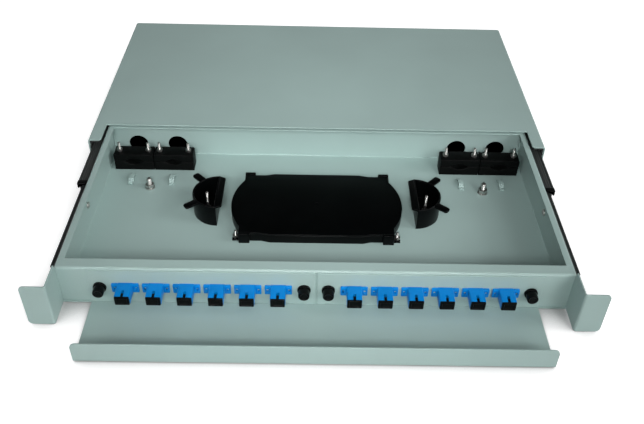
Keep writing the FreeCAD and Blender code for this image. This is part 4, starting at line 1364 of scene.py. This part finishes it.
@dataclass
class SlideHardware:
    """Pieces of the slides that are finer than their solids: balls, and buffers on the middle members."""

    leg: float = 1.7
    corner: float = 0.8
    ease: float = 0.25
    edge: float = 0.45
    ball_rows: int = 9
    ball_count: int = 16

    def build(self, shop: Paintshop) -> None:
        """Make the balls of both slides, the right slide's buffers, and their mirror image on the left.

        Args:
            shop: Makes and dresses the pieces.
        """
        boxes = solid_boxes("slide_bumper_right")
        middle = np.mean([box.centre[2] for box in boxes])
        buffers = [self.buffer(box, box.low[2] > middle) for box in boxes]
        for side in Side:
            for run in ("outer", "inner"):
                node = f"{run}_balls_{side.word}"
                balls = [self.ball(box) for box in solid_boxes(node)]
                shop.piece(f"{run}_bearing_balls_{side.word}", balls, node)
            mirrored = [shell.mirrored(side) for shell in buffers]
            shop.piece(f"slide_buffer_{side.word}", mirrored, f"slide_bumper_{side.word}")

    def ball(self, box: Box) -> Shell:
        """Ball: a half circle, (r sin t, -r cos t) for t from 0 to half a turn, turned about X.

        Args:
            box: Box of the ball.

        Returns:
            The surface.
        """
        turn = np.linspace(0, math.pi, self.ball_rows)
        radius = box.half[2]
        profile = np.stack([radius * np.sin(turn), -radius * np.cos(turn)], axis=-1)
        return lathe(profile, Along.X, box.centre, self.ball_count)

    def buffer(self, box: Box, upper: bool) -> Shell:
        """Right-hand buffer on one flange: an angle with eased corners and a rounded nose, carried along Y.

        Args:
            box: Box of the buffer.
            upper: Whether it sits on the upper flange; the lower one is its mirror image about Z.

        Returns:
            The surface.
        """
        wide, _, tall = box.size
        in_wide, in_tall, ease = wide - self.leg, tall - self.leg, self.ease
        outline = filleted([(wide, 0, ease), (wide, tall, self.corner), (0, tall, ease), (0, in_tall, ease),
                            (in_wide, in_tall, ease), (in_wide, 0, ease)])
        if not upper:
            outline = (outline * (1, -1))[::-1] + (0, tall)
        place = (box.low[0], 0, box.low[2])
        return prism(outline, box.low[1], box.high[1], (self.edge, ease), Along.Y, place)


@dataclass(frozen=True)
class SoftLight:
    """A square lamp that shines at a point, with a beam in degrees that a grid can narrow."""

    name: str
    place: Point
    size: float
    watts: float
    target: Point = (0, -0.05, 0.02)
    beam: float = 180.0

    def build(self) -> None:
        """Hang the lamp."""
        lamp = bpy.data.lights.new(self.name, "AREA")
        lamp.shape = "SQUARE"
        lamp.size = self.size
        lamp.energy = self.watts
        lamp.spread = math.radians(self.beam)
        holder = bpy.data.objects.new(self.name, lamp)
        holder.location = self.place
        heading = Vector(self.target) - Vector(self.place)
        holder.rotation_euler = heading.to_track_quat("-Z", "Y").to_euler()
        bpy.context.scene.collection.objects.link(holder)
        LOG.info("%s shines at %.1f W", self.name, self.watts)


@dataclass(frozen=True)
class Viewpoint:
    """Camera at the photographed angle: place in millimetres, angles in degrees, focal length in pixels."""

    place: Point = (-4.9, -646.2, 485.5)
    pitch: float = 39.87
    yaw: float = 1.02
    roll: float = 1.57
    focal: float = 754.5
    image_wide: float = 644.0
    sensor: float = 36.0
    nearest: float = 0.01
    farthest: float = 50.0

    def build(self) -> None:
        """Set the camera up; its axes are the heading turned by yaw and pitch, then rolled about it."""
        pitch, yaw, roll = (math.radians(angle) for angle in (self.pitch, self.yaw, self.roll))
        ahead = Vector((math.sin(yaw) * math.cos(pitch), math.cos(yaw) * math.cos(pitch), -math.sin(pitch)))
        level = Vector((math.cos(yaw), -math.sin(yaw), 0))
        above = level.cross(ahead)
        right = math.cos(roll) * level + math.sin(roll) * above
        top = math.cos(roll) * above - math.sin(roll) * level
        data = bpy.data.cameras.new("photo_view")
        data.sensor_fit = "HORIZONTAL"
        data.sensor_width = self.sensor
        data.lens = self.focal * self.sensor / self.image_wide
        data.clip_start = self.nearest
        data.clip_end = self.farthest
        camera = bpy.data.objects.new("photo_view", data)
        turn = Matrix((right, top, -ahead)).transposed().to_4x4()
        camera.matrix_world = Matrix.Translation(Vector(self.place) * MM) @ turn
        bpy.context.scene.collection.objects.link(camera)
        bpy.context.scene.camera = camera


@dataclass
class Studio:
    """Pale floor, white surroundings and soft lamps."""

    half_floor: float = 6.0
    floor_lines: int = 9
    floor_drop: float = 0.0004
    floor_colour: float = 0.5
    floor_mottle: float = 0.02
    floor_cells: float = 3.0
    floor_lift: float = 0.9
    shade_reach: float = 0.12
    shade_samples: int = 16
    shut_in: float = 0.3
    in_open: float = 0.8
    cover_edges: tuple[float, float, float] = (0.01, 0.04, 0.08)
    ambient: float = 0.2
    ceiling: float = 0.03
    ceiling_limits: tuple[float, float] = (0.15, 0.45)
    lamps: tuple[SoftLight, ...] = (
        SoftLight("front_right_softbox", (1.65, -2.65, 1.72), 1.2, 39.6),
        SoftLight("right_softbox", (3.0, -0.8, 1.6), 1.2, 39.4),
        SoftLight("front_left_softbox", (-0.7, -1.0, 0.45), 0.4, 1.7),
        SoftLight("gridded_front_softbox", (-0.05, -0.95, 0.72), 0.25, 0.42, (0, 0.03, 0.03), 36))

    def build(self) -> None:
        """Set the stage, the surroundings, the lamps and the camera."""
        self.floor()
        self.surroundings()
        for lamp in self.lamps:
            lamp.build()
        Viewpoint().build()
        bpy.context.scene.view_settings.view_transform = "Standard"

    def seen(self, graph: Graph, low: float, high: float) -> Socket:
        """Number that tells what is seen from what lights the object.

        Args:
            graph: Nodes of the floor or of the world.
            low: The number for light that falls on the object.
            high: The number for what the camera, a mirror or glass sees.

        Returns:
            The number.
        """
        ray = graph.node("ShaderNodeLightPath").outputs
        bare = graph.maths("MAXIMUM", ray["Is Camera Ray"], ray["Is Glossy Ray"])
        seen = graph.maths("MAXIMUM", bare, ray["Is Transmission Ray"])
        return graph.between(seen, low, high, 0, 1)

    def floor(self) -> None:
        """Lay the floor: a square grid of points (x, y), level and just below the panel."""
        line = np.linspace(-self.half_floor, self.half_floor, self.floor_lines)
        x, y = np.meshgrid(line, line, indexing="ij")
        points = np.stack([x, y, np.full_like(x, -self.floor_drop)], axis=-1)
        number = np.arange(x.size).reshape(x.shape)
        quads = np.stack([number[:-1, :-1], number[1:, :-1], number[1:, 1:], number[:-1, 1:]], axis=-1)
        mesh = bpy.data.meshes.new("studio_floor")
        mesh.from_pydata(points.reshape(-1, 3), [], quads.reshape(-1, 4).tolist())
        mesh.materials.append(self.floor_finish())
        floor = bpy.data.objects.new("studio_floor", mesh)
        bpy.context.scene.collection.objects.link(floor)

    def floor_finish(self) -> bpy.types.Material:
        """Pale matt finish that the camera sees near white, but for painted shade: less glow round the
        panel, black under it.

        Returns:
            The material.
        """
        graph = Graph(bpy.data.materials.new("studio_floor"))
        tones = (self.floor_colour, self.floor_colour + self.floor_mottle)
        pale, paler = ((tone, tone, tone, 1) for tone in tones)
        painted_shade_under_housing = self.under_cover(graph)
        # Painted shade: the floor's colour goes to black under the housing.
        colour = graph.blend(painted_shade_under_housing, graph.blend(graph.noise(self.floor_cells), pale, paler), (0, 0, 0, 1))
        matt = graph.node("ShaderNodeBsdfDiffuse", {"Color": colour}).outputs["BSDF"]
        # Painted shade: the camera's glow fades where ambient occlusion finds the floor sheltered, a contact
        # shade round the panel.
        shelter = graph.node("ShaderNodeAmbientOcclusion", {"Distance": self.shade_reach},
                             samples=self.shade_samples).outputs["AO"]
        open_air = graph.maths("MULTIPLY", graph.between(shelter, 0, 1, self.shut_in, self.in_open),
                               graph.between(painted_shade_under_housing, 1, 0, 0, 1))
        glow = graph.maths("MULTIPLY", self.seen(graph, 0, self.floor_lift), open_air)
        lift = graph.node("ShaderNodeEmission", {"Strength": glow}).outputs["Emission"]
        both = graph.node("ShaderNodeAddShader", {0: matt, 1: lift}).outputs["Shader"]
        graph.node("ShaderNodeOutputMaterial", {"Surface": both})
        return graph.owner

    def under_cover(self, graph: Graph) -> Socket:
        """How far the floor lies under the housing, where hardly any light reaches and the floor is painted
        black as shade.

        Args:
            graph: The floor's nodes.

        Returns:
            A number from 0 in the open to 1 under the housing, with soft limits at its edges.
        """
        cover = node_box("housing_cover")
        (_, front_y, _), (side_x, rear_y, _) = cover.low * MM, cover.high * MM
        side_edge, front_edge, rear_edge = self.cover_edges
        place = graph.node("ShaderNodeSeparateXYZ", {"Vector": graph.place}).outputs
        across = graph.between(graph.maths("ABSOLUTE", place["X"]), 1, 0, side_x - side_edge, side_x)
        front = graph.between(place["Y"], 0, 1, front_y - front_edge, front_y)
        rear = graph.between(place["Y"], 1, 0, rear_y - rear_edge, rear_y)
        return graph.maths("MULTIPLY", graph.maths("MULTIPLY", front, rear), across)

    def surroundings(self) -> None:
        """Even light from all round, seen white near the horizon and dim overhead, like a dark ceiling."""
        world = bpy.data.worlds.new("studio")
        bpy.context.scene.world = world
        graph = Graph(world)
        height = graph.node("ShaderNodeSeparateXYZ", {"Vector": graph.heading}).outputs["Z"]
        wall = graph.between(height, 1, self.ceiling, *self.ceiling_limits)
        share = self.seen(graph, 0, 1)
        light = graph.node("ShaderNodeMix", {0: share, 2: self.ambient, 3: wall}, data_type="FLOAT")
        sky = graph.node("ShaderNodeBackground", {"Color": (1, 1, 1, 1), "Strength": light.outputs[0]})
        graph.node("ShaderNodeOutputWorld", {"Surface": sky.outputs["Background"]})


def main() -> None:
    """Build every sub-assembly in order, then the studio round it."""
    logging.basicConfig(level=logging.INFO, format="%(name)s %(message)s")
    shop = Paintshop()
    shop.coat_frame()
    assemblies = (CornerSeams(), AdapterRow(), PlungerFasteners(), SpliceTray(), FibreSpools(),
                  CableClamps(), Fasteners(), SlideHardware())
    for assembly in assemblies:
        assembly.build(shop)
        LOG.info("%s done", type(assembly).__name__)
    Studio().build()


if __name__ == "__main__":
    main()
